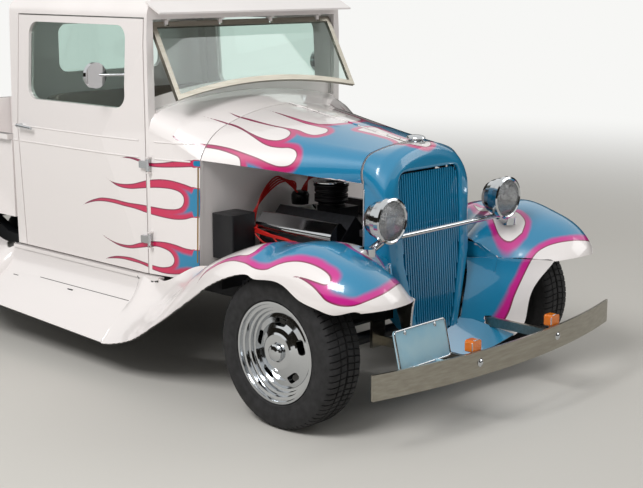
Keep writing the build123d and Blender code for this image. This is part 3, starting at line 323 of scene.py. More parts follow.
def painted(name, depth_at, finish, body):
    """A divided copy of a CAD skin with the paint's depth on its vertices."""
    source = parts[name].data
    bm = bmesh.new()
    bm.from_mesh(source)
    facing = bm.loops.layers.float_vector.new("facing")
    corners = (corner for face in bm.faces for corner in face.loops)
    for corner, normal in zip(corners, source.corner_normals):
        corner[facing] = normal.vector
    bmesh.ops.remove_doubles(bm, verts=bm.verts, dist=WELD)
    for _ in range(PASSES):
        bm.normal_update()
        edges = [e for e in bm.edges if e.calc_length() > GRAIN]
        if not edges:
            break
        middles = np.array([(e.verts[0].co + e.verts[1].co) / 2 for e in edges])
        outward = np.array([sum((f.normal for f in e.link_faces), Vector()) for e in edges])
        lengths = np.array([e.calc_length() for e in edges])
        near = np.abs(depth_at(middles, outward)) < BAND + 0.6 * lengths
        chosen = [e for e, keep in zip(edges, near) if keep]
        if not chosen:
            break
        bmesh.ops.subdivide_edges(bm, edges=chosen, cuts=1)
        bmesh.ops.triangulate(bm, faces=[f for f in bm.faces if len(f.verts) > 3])
    bm.normal_update()
    places = np.array([v.co for v in bm.verts])
    outward = np.array([v.normal for v in bm.verts])
    made = mesh_object(name + "_painted", bm)
    mesh = made.data
    depth = mesh.attributes.new("paint_depth", "FLOAT", "POINT")
    depth.data.foreach_set("value", depth_at(places, outward))
    normals = np.empty(len(mesh.loops) * 3)
    mesh.attributes["facing"].data.foreach_get("vector", normals)
    mesh.attributes.remove(mesh.attributes["facing"])
    normals = normals.reshape(-1, 3)
    mesh.shade_smooth()
    mesh.normals_split_custom_set(normals / np.linalg.norm(normals, axis=1)[:, None])
    mesh.materials.clear()
    mesh.materials.append(finish)
    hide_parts(name)
    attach(made, body)


def flame_enamel(name, border, inner):
    """White, pinstripe, border and blue by the depth in the outline, plain on the inner face."""
    made, tree, shader = material(name, PAINT)
    depth = node(tree, "ShaderNodeAttribute", attribute_name="paint_depth").outputs["Fac"]

    def share(value, ends, **settings):
        return node(tree, "ShaderNodeMapRange", {
            "Value": value, "From Min": ends[0], "From Max": ends[1]}, **settings).outputs[0]

    place = node(tree, "ShaderNodeTexCoord").outputs["Object"]
    mist = node(tree, "ShaderNodeTexNoise", {"Vector": place, "Scale": 12.0, "Detail": 2.0})
    drift = node(tree, "ShaderNodeMapRange", {
        "Value": mist.outputs["Fac"], "From Min": 0.3, "From Max": 0.7, "To Min": -MIST, "To Max": MIST})
    sprayed = node(tree, "ShaderNodeMath", {0: depth, 1: drift.outputs[0]}, operation="ADD").outputs[0]
    line = mixed(tree, share(depth, PINSTRIPE_END), linear("7E1A45"), border)
    airbrushed = mixed(tree, share(sprayed, BORDER_FADE, interpolation_type="SMOOTHSTEP"), line, BLUE)
    whole = mixed(tree, share(depth, MASK_EDGE), WHITE, airbrushed)
    # Inner faces take the inner colour; for bonnet and fenders that is a near black painted shade, and
    # the clear coat thins there.
    turned_in = share(depth, TURNED_IN)
    tree.links.new(mixed(tree, turned_in, whole, inner), shader.inputs["Base Color"])
    gloss = node(tree, "ShaderNodeMapRange", {"Value": turned_in, "To Min": 1.0, "To Max": 0.1})
    tree.links.new(gloss.outputs[0], shader.inputs["Coat Weight"])
    return made


# Near black for faces turned down and into a hollow: a painted shade for the undersides that lie in
# shadow.
PAINTED_SHADE_BLACK = linear("15140F")
bonnet_flames = flame_enamel("flame_enamel_bonnet", linear("C2166A"), PAINTED_SHADE_BLACK)
side_flames = flame_enamel("flame_enamel_sides", linear("CB1B52"), WHITE)
fender_flames = flame_enamel("flame_enamel_fenders", linear("C8158A"), PAINTED_SHADE_BLACK)

# Bonnet licks
# Three licks on each half run back from the blue nose, and a white tear with a magenta
# edge trails behind the radiator cap. The licks' points are millimetres behind the front
# axle and round from the centre line; the tear's are millimetres to the side and behind.
BONNET_AXIS_Z = 0.75
BONNET_ROUND = 0.4
BONNET_LICKS = closed_outline((
    ((525, 460), (540, 435), (575, 428), (640, 425), (715, 430), (770, 434), (825, 430), (850, 420)),
    ((850, 420), (795, 426), (745, 422), (680, 413), (600, 409), (530, 412), (460, 417), (410, 424),
     (365, 426), (325, 415), (305, 395), (303, 370), (320, 354), (350, 351), (385, 360), (430, 366),
     (475, 362), (540, 346), (610, 330), (680, 322), (755, 324), (822, 330)),
    ((822, 330), (790, 325), (710, 314), (650, 315), (575, 329), (510, 338), (455, 338), (415, 326),
     (402, 300), (420, 270), (460, 257), (530, 263), (590, 267), (660, 268), (725, 267), (777, 261)),
    ((777, 261), (725, 260), (665, 257), (590, 256), (520, 253), (457, 244), (405, 237), (358, 244),
     (320, 240), (300, 215), (300, 185), (323, 161), (360, 166), (430, 173), (495, 168), (560, 161),
     (645, 154), (735, 150)),
    ((735, 150), (670, 151), (600, 149), (525, 148), (445, 146), (395, 138), (375, 125), (358, 100),
     (342, 50), (335, -40)),
), ((-150, -40), (-150, 640), (515, 640)))
CAP_TEAR = closed_outline((
    ((0, -122), (45, -112), (80, -84), (84, -50), (64, -16), (36, 20), (26, 66), (32, 121), (44, 178),
     (60, 230)),
    ((60, 230), (30, 236), (0, 238)),
), ((-50, 238), (-50, -122)))


def bonnet_depth(places, outward):
    """Depth of the bonnet's paint, less the white tear round the radiator cap."""
    aft = places[:, 1] - FRONT_AXLE_Y
    side = np.abs(places[:, 0])
    rise = places[:, 2] - BONNET_AXIS_Z
    girth = BONNET_ROUND * np.arctan2(side, rise)
    depth = depth_inside(np.column_stack((aft, girth)), BONNET_LICKS)
    depth = np.minimum(depth, -depth_inside(np.column_stack((side, aft)), CAP_TEAR))
    faces_out = outward[:, 0] * np.sign(places[:, 0]) * side + outward[:, 2] * rise > 0
    return np.where(faces_out, np.maximum(depth, OUTSIDE), INNER_FACE)


for side in "lr":
    painted(f"bonnet_top_{side}", bonnet_depth, bonnet_flames, f"bonnet_{side}")

# Grille shell
# One deep pressing with rolled edges and no crease, so an even and rounded skin is laid
# over the CAD shell. It is blue, with the front of the white ring round the cap.
SHELL_VOXEL = 0.004
SHELL_ROUNDING = 14
CAP_AFT = -0.045
CAP_RING = 0.062
CROWN_Z = 1.062
rough_shell = bmesh.new()
rough_shell.from_mesh(parts["grille_shell"].data)
bmesh.ops.remove_doubles(rough_shell, verts=rough_shell.verts, dist=WELD)
shell_skin = mesh_object("grille_shell_rounded", rough_shell)
remesh = shell_skin.modifiers.new("even", "REMESH")
remesh.mode = "VOXEL"
remesh.voxel_size = SHELL_VOXEL
even = bpy.data.meshes.new_from_object(shell_skin.evaluated_get(bpy.context.evaluated_depsgraph_get()))
shell_skin.modifiers.clear()
shell_skin.data = even
rounding = bmesh.new()
rounding.from_mesh(even)
for _ in range(SHELL_ROUNDING):
    bmesh.ops.smooth_vert(
        rounding, verts=rounding.verts, factor=0.5, use_axis_x=True, use_axis_y=True, use_axis_z=True)
rounding.to_mesh(even)
rounding.free()
even.shade_smooth()
places = np.array([v.co for v in even.vertices])
ahead_of_cap = np.minimum(places[:, 1] - FRONT_AXLE_Y - CAP_AFT, 0)
beyond_ring = np.hypot(places[:, 0], ahead_of_cap) - CAP_RING
below_crown = np.maximum(CROWN_Z - places[:, 2], 0)
even.attributes.new("paint_depth", "FLOAT", "POINT").data.foreach_set("value", beyond_ring + below_crown)
even.materials.clear()
even.materials.append(bonnet_flames)
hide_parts("grille_shell")
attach(shell_skin, "truck")

# Side licks
# Three groups of licks start at the cowl's front edge and run back over the door gap onto
# the door. Their points are millimetres behind the front axle and above the ground.
SIDE_LICKS = [
    closed_outline((
        ((640, 948), (720, 949), (810, 941), (925, 933), (990, 939), (1040, 951), (1097, 959),
         (1155, 956)),
        ((1155, 956), (1097, 967), (1040, 963), (990, 952), (950, 951), (885, 958), (810, 971),
         (720, 979), (640, 980)),
    )),
    closed_outline((
        ((640, 735), (727, 729), (780, 714), (835, 709), (910, 713), (993, 723), (1061, 733),
         (1130, 738), (1219, 743), (1300, 741), (1369, 730), (1433, 711), (1469, 696)),
        ((1469, 696), (1425, 719), (1382, 737), (1339, 750), (1291, 760), (1198, 763), (1106, 758),
         (1014, 758), (938, 755), (869, 753), (811, 761), (787, 785), (788, 816), (815, 836),
         (867, 843), (946, 840), (1023, 830), (1091, 821), (1161, 823), (1222, 841), (1263, 860)),
        ((1263, 860), (1209, 843), (1137, 840), (1067, 849), (990, 870), (915, 882), (847, 882),
         (783, 871), (728, 858), (640, 852)),
    )),
    closed_outline((
        ((640, 478), (716, 476), (777, 471), (835, 462), (896, 459), (958, 467), (1025, 482), (1101, 486),
         (1180, 486), (1261, 476), (1313, 465)),
        ((1313, 465), (1274, 480), (1239, 490), (1198, 498), (1113, 504), (1036, 499), (967, 490),
         (905, 487), (854, 500), (838, 528), (858, 558), (903, 573), (951, 575), (1033, 559),
         (1102, 546), (1174, 545), (1239, 557), (1297, 574), (1323, 587)),
        ((1323, 587), (1251, 566), (1186, 558), (1107, 562), (1032, 584), (964, 598), (892, 603),
         (832, 598), (776, 587), (716, 585), (640, 587)),
    )),
]
EDGE_BLUE_AFT = 0.742
EDGE_WIDTH = 0.012
EDGE_LIFT = 0.04
EDGE_START = 0.004
SIDE_FACING = 0.25


def side_depth(places, outward):
    """Depth of the side licks; the cowl's front roll is sprayed blue inside them."""
    aft = places[:, 1] - FRONT_AXLE_Y
    flat = np.column_stack((aft, places[:, 2]))
    depth = np.max([depth_inside(flat, licks) for licks in SIDE_LICKS], axis=0)
    rolled = np.clip((EDGE_BLUE_AFT - aft) / EDGE_WIDTH, 0, 1)
    lifted = depth + EDGE_LIFT * rolled * np.clip(depth / EDGE_START, 0, 1)
    depth = np.where(depth > 0, lifted, depth)
    faces_out = outward[:, 0] * np.sign(places[:, 0]) > SIDE_FACING * np.linalg.norm(outward, axis=1)
    return np.where(faces_out, np.maximum(depth, OUTSIDE), INNER_FACE)


def cowl_depth(places, outward):
    """Depth of the cowl's paint, where bonnet and side licks both end."""
    return np.maximum(bonnet_depth(places, outward), side_depth(places, outward))


painted("cowl", cowl_depth, side_flames, "truck")
for side in "lr":
    painted(f"door_{side}", side_depth, side_flames, f"door_{side}")

# Fender licks
# A blue crown with a magenta edge, long licks over the white lip and a white tear round
# the lamp stand. The licks' points are millimetres round the wheel and across from the
# crown; the tear's are millimetres from the car's middle and behind the front axle.
FENDER_CROWN_X = 0.65
FENDER_TUBE = 0.2
HUB_Z = 0.314
WHEEL_ROUND = 0.48
CROWN_ROUND = 0.2
TAIL_AFT = 0.45
FENDER_LICKS = closed_outline((
    ((880, -230), (930, -150), (890, -80), (935, -10), (905, 50), (900, 100), (915, 118), (945, 123),
     (1004, 110), (1062, 98), (1114, 88), (1160, 83), (1197, 85), (1234, 92), (1289, 117)),
    ((1289, 117), (1239, 103), (1197, 102), (1144, 104), (1092, 115), (1035, 130), (972, 150), (911, 167),
     (870, 179), (833, 185), (789, 187), (748, 183), (716, 172), (659, 150), (584, 125), (520, 109),
     (456, 100), (415, 101), (399, 110), (405, 121), (443, 134), (495, 148), (548, 164), (589, 183)),
    ((589, 183), (544, 166), (506, 158), (439, 150), (382, 146), (341, 141), (299, 121), (272, 93),
     (266, 64), (270, 20), (285, -25), (300, -70), (306, -107), (295, -140), (250, -175), (180, -210),
     (100, -235), (0, -250), (-130, -268), (-260, -285)),
), ((-260, -600), (880, -600)))
STAND_TEAR = closed_outline((
    ((470, -269), (521, -248), (543, -196), (530, -150), (540, -90), (575, 10), (600, 95)),
    ((600, 95), (550, 20), (500, -60), (440, -129), (397, -196), (418, -248), (470, -269)),
))


def fender_depth(places, outward):
    """Depth of a front fender's paint, less the white tear round the lamp stand."""
    aft = places[:, 1] - FRONT_AXLE_Y
    side = np.abs(places[:, 0])
    rise = places[:, 2] - HUB_Z
    reach = np.hypot(aft, rise)
    around = WHEEL_ROUND * np.arctan2(rise, -aft)
    across = CROWN_ROUND * np.arctan2(side - FENDER_CROWN_X, reach - FENDER_TUBE)
    depth = depth_inside(np.column_stack((around, across)), FENDER_LICKS)
    depth = np.minimum(depth, -depth_inside(np.column_stack((side, aft)), STAND_TEAR))
    spread = (outward[:, 1] * aft + outward[:, 2] * rise) / reach * (reach - FENDER_TUBE)
    out_x = outward[:, 0] * np.sign(places[:, 0])
    spread += out_x * (side - FENDER_CROWN_X)
    spread = np.where(aft > TAIL_AFT, outward[:, 2] + 0.5 * out_x, spread)
    return np.where(spread > 0, np.maximum(depth, OUTSIDE), INNER_FACE)


for side in "lr":
    painted(f"front_fender_{side}", fender_depth, fender_flames, "truck")

# White body panels
# Pressed steel in warm white two-pack enamel under a clear coat, flatted and polished.
# Fenders, boards and bed are near black on the faces turned to their hollow, a painted shade for their
# undersides.
white_enamel = grained("white_enamel", PAINT, 3.0, "E9E3E1", "EFE9E7")
for name in ("cab", "tailgate", "bonnet_hinge"):
    dress(name, white_enamel)


def enamel_with_painted_shade(name, hollow):
    """White enamel on faces that look away from the hollow's centre, painted shade in near black on the
    others.
    """
    made, tree, shader = material(name, PAINT)
    place = node(tree, "ShaderNodeTexCoord")
    away = node(tree, "ShaderNodeVectorMath", {
        0: place.outputs["Object"], 1: hollow}, operation="SUBTRACT")
    level_out = node(tree, "ShaderNodeVectorMath", {0: away.outputs[0]}, operation="NORMALIZE")
    looks_out = node(tree, "ShaderNodeVectorMath", {
        0: level_out.outputs[0], 1: place.outputs["Normal"]}, operation="DOT_PRODUCT")
    outer = node(tree, "ShaderNodeMapRange", {
        "Value": looks_out.outputs["Value"], "From Min": -0.12, "From Max": -0.06})
    # Faces turned to the hollow are painted near black as shade; the others stay white.
    skin = mixed(tree, outer.outputs[0], PAINTED_SHADE_BLACK, WHITE)
    tree.links.new(skin, shader.inputs["Base Color"])
    tree.links.new(outer.outputs[0], shader.inputs["Coat Weight"])
    return made


REAR_HOLLOW = (0.7, 1.213, 0.42)
DEEP_BELOW = (0, 0, -30.0)
boards_enamel = enamel_with_painted_shade("undersealed_enamel_boards", DEEP_BELOW)
for name in ("running_board_l", "running_board_r", "bed"):
    dress(name, boards_enamel)
for side, sign in (("l", 1), ("r", -1)):
    hollow = (sign * REAR_HOLLOW[0], *REAR_HOLLOW[1:])
    dress(f"rear_fender_{side}", enamel_with_painted_shade(f"undersealed_enamel_rear_{side}", hollow))

# Cab floor
# Pressed steel under a ribbed black rubber mat.
mat_rubber, tree, shader = material(
    "ribbed_rubber_mat", {"Base Color": linear("1C1B1A"), "Roughness": 0.8})
place = node(tree, "ShaderNodeTexCoord")
ribs = node(tree, "ShaderNodeTexWave", {"Vector": place.outputs["Object"], "Scale": 31.4})
raised = node(tree, "ShaderNodeBump", {"Height": ribs.outputs["Fac"], "Distance": 0.0015})
tree.links.new(raised.outputs[0], shader.inputs["Normal"])
dress("cab_floor", mat_rubber)

# Blue panels
# The grille bars and the front pan are sprayed the flames' blue all over, under the same
# clear coat as the flames.
blue_enamel = grained("blue_enamel", PAINT, 3.0, "097CA7", "0B82AD")
for name in ("grille_bars", "front_pan"):
    dress(name, blue_enamel)

# Bumper and windscreen frame
# Plated steel gone dull, faintly streaked along its length.
dull_steel = grained("dull_plated_steel", {"Metallic": 1.0, "Roughness": 0.3}, 90.0,
                     "9A958A", "A8A499", 0.0001, (0.1, 1, 1))
for name in ("front_bumper", "screen_frame"):
    dress(name, dull_steel)

# Glass
# Flat laminated glass with a slight green tint, and pressed lamp lenses: upright flutes
# on the headlamps, level ribs on the amber and red ones.
glass, tree, shader = material("laminated_glass", {
    "Base Color": linear("DDEBE6"), "Roughness": 0.02, "Transmission Weight": 1.0, "IOR": 1.45})
for name in ("screen_glass", "door_glass_l", "door_glass_r", "rear_glass"):
    dress(name, glass)
lens_glass, tree, shader = material("fluted_lens_glass", {
    "Base Color": linear("FAFBFC"), "Roughness": 0.06, "Transmission Weight": 0.9, "IOR": 1.5})
place = node(tree, "ShaderNodeTexCoord")
flutes = node(tree, "ShaderNodeTexWave", {"Vector": place.outputs["Object"], "Scale": 42.0})
raised = node(tree, "ShaderNodeBump", {"Height": flutes.outputs["Fac"], "Distance": 0.006})
tree.links.new(raised.outputs[0], shader.inputs["Normal"])
dress("headlamp_lenses", lens_glass)
for name, lens_name, hue in (
        ("turn_lamps", "amber_lens", "E8790C"), ("tail_lamps", "red_lens", "B01018")):
    lens, tree, shader = material(lens_name, {
        "Base Color": linear(hue), "Roughness": 0.12, "Coat Weight": 0.6, "Subsurface Weight": 0.2,
        "Subsurface Scale": 0.01})
    place = node(tree, "ShaderNodeTexCoord")
    rings = node(tree, "ShaderNodeTexWave", {"Vector": place.outputs["Object"], "Scale": 60.0},
                 bands_direction="Z")
    raised = node(tree, "ShaderNodeBump", {"Height": rings.outputs["Fac"], "Distance": 0.001})
    tree.links.new(raised.outputs[0], shader.inputs["Normal"])
    dress(name, lens)

# Bench seat
# A sprung cushion and a back in brown-grey cloth with sewn channels, on a box base in the
# same cloth. Each pad is a crowned form whose sides pull in between its corners.
SEAT_HALF = 0.52
CHANNEL = 0.104
CHANNEL_DEPTH = 0.009
BACK_LEAN = math.radians(78)
PAD_CUTS = 39
SIDE_PULL = 0.02
FRONT_PULL = 0.05
PADS = (
    ((0, 0.018, 0.573), (SEAT_HALF - 0.01, 0.245, 0.066), 0, 0.0, False),
    ((0, -0.012, 0.710), (SEAT_HALF, 0.238, 0.07), 0, 0.018, True),
    ((0, 0.168, 0.972), (SEAT_HALF, 0.232, 0.06), BACK_LEAN, 0.016, True))
seat_cloth, tree, shader = material("seat_cloth", {
    "Roughness": 0.9, "Sheen Weight": 0.25, "Sheen Roughness": 0.5})
place = node(tree, "ShaderNodeTexCoord")
weave = node(tree, "ShaderNodeTexVoronoi", {"Vector": place.outputs["Object"], "Scale": 420.0})
weave_colour = mixed(tree, weave.outputs["Distance"], linear("5E524B"), linear("85776D"))
tree.links.new(weave_colour, shader.inputs["Base Color"])
raised = node(tree, "ShaderNodeBump", {"Height": weave.outputs["Distance"], "Distance": 0.0006})
tree.links.new(raised.outputs[0], shader.inputs["Normal"])


def pad(whole, centre, half, tilt, crown, sewn):
    """Adds a crowned pad to a bmesh; sewn pads have channels across their top."""
    bm = bmesh.new()
    bmesh.ops.create_cube(bm, size=2.0)
    bmesh.ops.subdivide_edges(bm, edges=bm.edges, cuts=PAD_CUTS, use_grid_fill=True)
    turn = Matrix.Rotation(tilt, 4, "X")
    for v in bm.verts:
        u = v.co.copy()
        round_off = (1 - u.y ** 4) * (1 - u.x ** 8)
        pull_x = 1 - SIDE_PULL * (1 - u.y ** 2) * (1 - u.z ** 2)
        pull_y = 1 - FRONT_PULL * (1 - u.x ** 8) * (1 - u.z ** 2)
        rise = max(u.z, 0) * crown * round_off
        corner = (abs(u.x) ** 14 + abs(u.y) ** 8 + abs(u.z) ** 6) ** 0.1
        place = Vector((u.x * half[0] * pull_x, u.y * half[1] * pull_y, u.z * half[2])) / max(corner, 1)
        place.z += rise - crown
        if sewn and u.z > 0:
            seam = abs(math.sin(math.pi * place.x / CHANNEL))
            place.z -= CHANNEL_DEPTH * (1 - seam) ** 2 * round_off
        v.co = Vector(centre) + turn @ place
    shaped = bpy.data.meshes.new("pad")
    bm.to_mesh(shaped)
    bm.free()
    whole.from_mesh(shaped)
    bpy.data.meshes.remove(shaped)


seat_mesh = bmesh.new()
for centre, half, tilt, crown, sewn in PADS:
    pad(seat_mesh, centre, half, tilt, crown, sewn)
seat_pads = mesh_object("seat_pads", seat_mesh)
seat_pads.data.shade_smooth()
seat_pads.data.materials.append(seat_cloth)
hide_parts("seat")
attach(seat_pads, "truck")

# Number plate
# Pressed sheet in pale blue enamel, left blank.
plate_enamel = grained(
    "plate_enamel", {"Roughness": 0.3, "Coat Weight": 0.4}, 7.0, "A9CBD8", "8FBFD6", 0.0002)
dress("number_plate", plate_enamel)

# Tyres
# Radial road tyres: four ribs cut into blocks between three grooves, open shoulders and a
# plain sidewall with a rim guard and two fine rings. Each is one turned section with sipes.
TYRE_R = 0.313
GROOVE = 0.008
BLOCKS = 72
SIPE_SHARE = 0.12
SIPE_SHALLOW = 0.8
SKEW = 0.35
SKEW_AT = 0.08
FLOOR_R = TYRE_R - GROOVE
TRACK_FRONT = abs(sum(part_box("tyre_fl")[i][0] for i in (0, 1)) / 2)
TRACK_REAR = abs(sum(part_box("tyre_rl")[i][0] for i in (0, 1)) / 2)
HALF_SECTION = (
    (0.077, 0.191), (0.0775, 0.207), (0.0885, 0.2105), (0.0905, 0.214), (0.0895, 0.2185), (0.0905, 0.228),
    (0.0912, 0.230), (0.0912, 0.232), (0.0922, 0.234), (0.0945, 0.250), (0.0945, 0.262), (0.0925, 0.275),
    (0.0915, 0.277), (0.0915, 0.279), (0.0902, 0.281), (0.0885, 0.290), (0.0850, 0.2975))
HALF_TREAD = (
    (0.0800, 0.3040, 1), (0.0740, 0.3080, 1), (0.0600, 0.3115, 1), (0.0410, TYRE_R, 1),
    (0.0400, FLOOR_R, 0), (0.0350, FLOOR_R, 0), (0.0340, TYRE_R, 1), (0.0060, TYRE_R, 1),
    (0.0050, FLOOR_R, 0), (0.0, FLOOR_R, 0))
RING_STEPS = (
    (0.0, 0), (1 - 2 * SIPE_SHARE, 0), (1 - 1.5 * SIPE_SHARE, 1), (1 - 0.5 * SIPE_SHARE, 1))
rubber, tree, shader = material("tyre_rubber", {"Roughness": 0.72})
place = node(tree, "ShaderNodeTexCoord")
wear = node(tree, "ShaderNodeTexNoise", {"Vector": place.outputs["Object"], "Scale": 30.0, "Detail": 5.0})
dusty = node(tree, "ShaderNodeMapRange", {
    "Value": wear.outputs["Fac"], "From Min": 0.35, "From Max": 0.7})
grey = mixed(tree, dusty.outputs[0], linear("171718"), linear("29282A"))
tree.links.new(grey, shader.inputs["Base Color"])


def tyre(name, centre_x, centre_y):
    """A tyre as rings of one section; every block ends in a sipe across its rib."""
    half = [(x, r, 0) for x, r in HALF_SECTION] + list(HALF_TREAD)
    section = half + [(-x, r, cut) for x, r, cut in reversed(half[:-1])]
    bm = bmesh.new()
    rings = []
    for k in range(BLOCKS):
        for share, deep in RING_STEPS:
            ring = []
            for x, r, cut in section:
                skew = SKEW * x / SKEW_AT * (1 if x > 0 else -1)
                angle = 2 * math.pi * (k + share + skew) / BLOCKS
                reach = r - GROOVE * SIPE_SHALLOW * cut * deep
                ring.append(bm.verts.new((
                    centre_x + x, centre_y + reach * math.cos(angle), TYRE_R + reach * math.sin(angle))))
            rings.append(ring)
    for ring, following in zip(rings, rings[1:] + rings[:1]):
        for i in range(len(section)):
            j = (i + 1) % len(section)
            bm.faces.new((ring[i], ring[j], following[j], following[i]))
    bmesh.ops.recalc_face_normals(bm, faces=bm.faces)
    made = mesh_object(name + "_treaded", bm)
    made.data.shade_smooth()
    made.data.set_sharp_from_angle(angle=math.radians(35))
    made.data.materials.append(rubber)
    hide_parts(name)
    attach(made, name.replace("tyre", "wheel"))


WHEELBASE = 2.845
REAR_AXLE_Y = FRONT_AXLE_Y + WHEELBASE
for name, centre_x, centre_y in (
        ("tyre_fl", TRACK_FRONT, FRONT_AXLE_Y), ("tyre_fr", -TRACK_FRONT, FRONT_AXLE_Y),
        ("tyre_rl", TRACK_REAR, REAR_AXLE_Y), ("tyre_rr", -TRACK_REAR, REAR_AXLE_Y)):
    tyre(name, centre_x, centre_y)

# Trim beads
# Half-round beads pressed into the body and plated strips pinned to its edges. Each is a
# round bar laid half into the panel, along points found on the panel's own skin.
def on_skin(name, starts, inward):
    """The points where rays from the starts first meet a CAD piece."""
    mesh = parts[name].data
    skin = BVHTree.FromPolygons([v.co for v in mesh.vertices], [p.vertices for p in mesh.polygons])
    hits = [skin.ray_cast(Vector(start), Vector(inward))[0] for start in starts]
    return [hit for hit in hits if hit is not None]


def bar(bm, route, radius, sides=10, closed=False):
    """Adds a round bar along a route to a bmesh."""
    route = [Vector(p) for p in route]
    count = len(route)
    rings = []
    for i, here in enumerate(route):
        before = route[i - 1] if i or closed else here
        after = route[(i + 1) % count] if i + 1 < count or closed else here
        ahead = (after - before).normalized()
        across = ahead.orthogonal() if abs(ahead.z) > 0.95 else ahead.cross((0, 0, 1))
        across.normalize()
        if rings and across.dot(last) < 0:
            across.negate()
        last = across
        upward = across.cross(ahead)
        ring = [here + radius * (math.cos(a) * across + math.sin(a) * upward)
                for a in (2 * math.pi * k / sides for k in range(sides))]
        rings.append([bm.verts.new(p) for p in ring])
    pairs = list(zip(rings, rings[1:] + rings[:1]))
    for ring, following in pairs if closed else pairs[:-1]:
        for k in range(sides):
            bm.faces.new((ring[k], ring[(k + 1) % sides], following[(k + 1) % sides], following[k]))
    if not closed:
        bm.faces.new(rings[0])
        bm.faces.new(rings[-1])


def fitted(name, bm, finish, body):
    """Closes a new piece: normals out, smooth with sharp edges kept, finish and body."""
    bmesh.ops.recalc_face_normals(bm, faces=bm.faces)
    made = mesh_object(name, bm)
    made.data.shade_smooth()
    made.data.set_sharp_from_angle(angle=math.radians(40))
    made.data.materials.append(finish)
    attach(made, body)


def aft(distance):
    """The frame's y for a distance behind the front axle."""
    return distance + FRONT_AXLE_Y


def even_steps(first, last, count):
    """The ends of a number of even steps from first to last."""
    return [first + (last - first) * k / count for k in range(count + 1)]


OUTSIDE_X = 1.2
BELT_STEPS = 24
BELT_BEADS = ((0.970, 0.0040), (1.045, 0.0035))
COWL_STRIP = (0.713, 0.0035, even_steps(0.53, 0.95, 20))
SHELL_STRIP = (-0.002, 0.0045, even_steps(0.64, 0.90, 12))
BOARD_SEAM_Z = 0.322
BOARD_SEAM_R = 0.0015
BOARD_SEAM_STEPS = even_steps(0.88, 1.74, 20)
brass, tree, shader = material(
    "brass_strip", {"Base Color": linear("B08A4A"), "Metallic": 1.0, "Roughness": 0.3})
for side, sign in (("l", 1), ("r", -1)):
    inward = (-sign, 0, 0)
    for name, body, first, last in (
            ("cowl", "truck", 0.75, 0.935),
            (f"door_{side}", f"door_{side}", 1.03, 1.925),
            ("cab", "truck", 1.945, 2.03)):
        beads = bmesh.new()
        for height, radius in BELT_BEADS:
            steps = even_steps(first, last, BELT_STEPS)
            starts = [(sign * OUTSIDE_X, aft(y), height) for y in steps]
            bar(beads, on_skin(name, starts, inward), radius)
        fitted(f"belt_beads_{name}_{side}", beads, white_enamel, body)
    for name, panel, finish, (back, radius, heights) in (
            ("cowl_edge_strip", "cowl", brass, COWL_STRIP),
            ("shell_edge_strip", "grille_shell", chrome, SHELL_STRIP)):
        strip = bmesh.new()
        starts = [(sign * OUTSIDE_X, aft(back), z) for z in heights]
        bar(strip, on_skin(panel, starts, inward), radius)
        fitted(f"{name}_{side}", strip, finish, "truck")
    seam = bmesh.new()
    starts = [(sign * OUTSIDE_X, aft(y), BOARD_SEAM_Z) for y in BOARD_SEAM_STEPS]
    bar(seam, on_skin(f"running_board_{side}", starts, inward), BOARD_SEAM_R)
    fitted(f"board_seam_{side}", seam, chassis_enamel, "truck")

# Radiator cap, bumper bolts and lamp frames
# An oval cap turned and plated on the shell's crown, two dome-headed bolts through the
# bumper, and a bent wire frame round each amber lamp.
def turned(bm, profile, place, sides=32, stretch=(1, 1)):
    """Adds a turned form to a bmesh; the profile runs (radius, height) from end to end."""
    rings = []
    for radius, height in profile:
        if radius == 0:
            rings.append([bm.verts.new(place @ Vector((0, 0, height)))])
            continue
        ring = []
        for angle in (2 * math.pi * k / sides for k in range(sides)):
            across = radius * stretch[0] * math.cos(angle)
            along = radius * stretch[1] * math.sin(angle)
            ring.append(bm.verts.new(place @ Vector((across, along, height))))
        rings.append(ring)
    for low, high in zip(rings, rings[1:]):
        for k in range(sides):
            following = (k + 1) % sides
            corners = [low[k % len(low)], low[following % len(low)],
                       high[following % len(high)], high[k % len(high)]]
            bm.faces.new(list(dict.fromkeys(corners)))


CAP_PROFILE = (
    (0, -0.006), (0.034, -0.006), (0.035, 0.003), (0.030, 0.006), (0.026, 0.008), (0.026, 0.013),
    (0.033, 0.014), (0.035, 0.017), (0.034, 0.021), (0.029, 0.025), (0.020, 0.028), (0.009, 0.0295),
    (0, 0.030))
ABOVE_Z = 2.0
crown = on_skin("grille_shell", [(0, aft(CAP_AFT), ABOVE_Z)], (0, 0, -1))[0]
cap = bmesh.new()
turned(cap, CAP_PROFILE, Matrix.Translation(crown), stretch=(1.0, 1.25))
fitted("radiator_cap", cap, chrome, "truck")

BOLT_PROFILE = (
    (0, -0.002), (0.017, -0.002), (0.017, 0.0015), (0.0135, 0.0025), (0.011, 0.006), (0.006, 0.0085),
    (0, 0.009))
BOLT_X = 0.266
BOLT_Z = 0.286
AHEAD_Y = -4.0
FACING_FRONT = Matrix.Rotation(math.radians(90), 4, "X")
bolts = bmesh.new()
for x in (-BOLT_X, BOLT_X):
    seat_point = on_skin("front_bumper", [(x, AHEAD_Y, BOLT_Z)], (0, 1, 0))[0]
    turned(bolts, BOLT_PROFILE, Matrix.Translation(seat_point) @ FACING_FRONT, sides=24)
fitted("bumper_bolts", bolts, chrome, "truck")

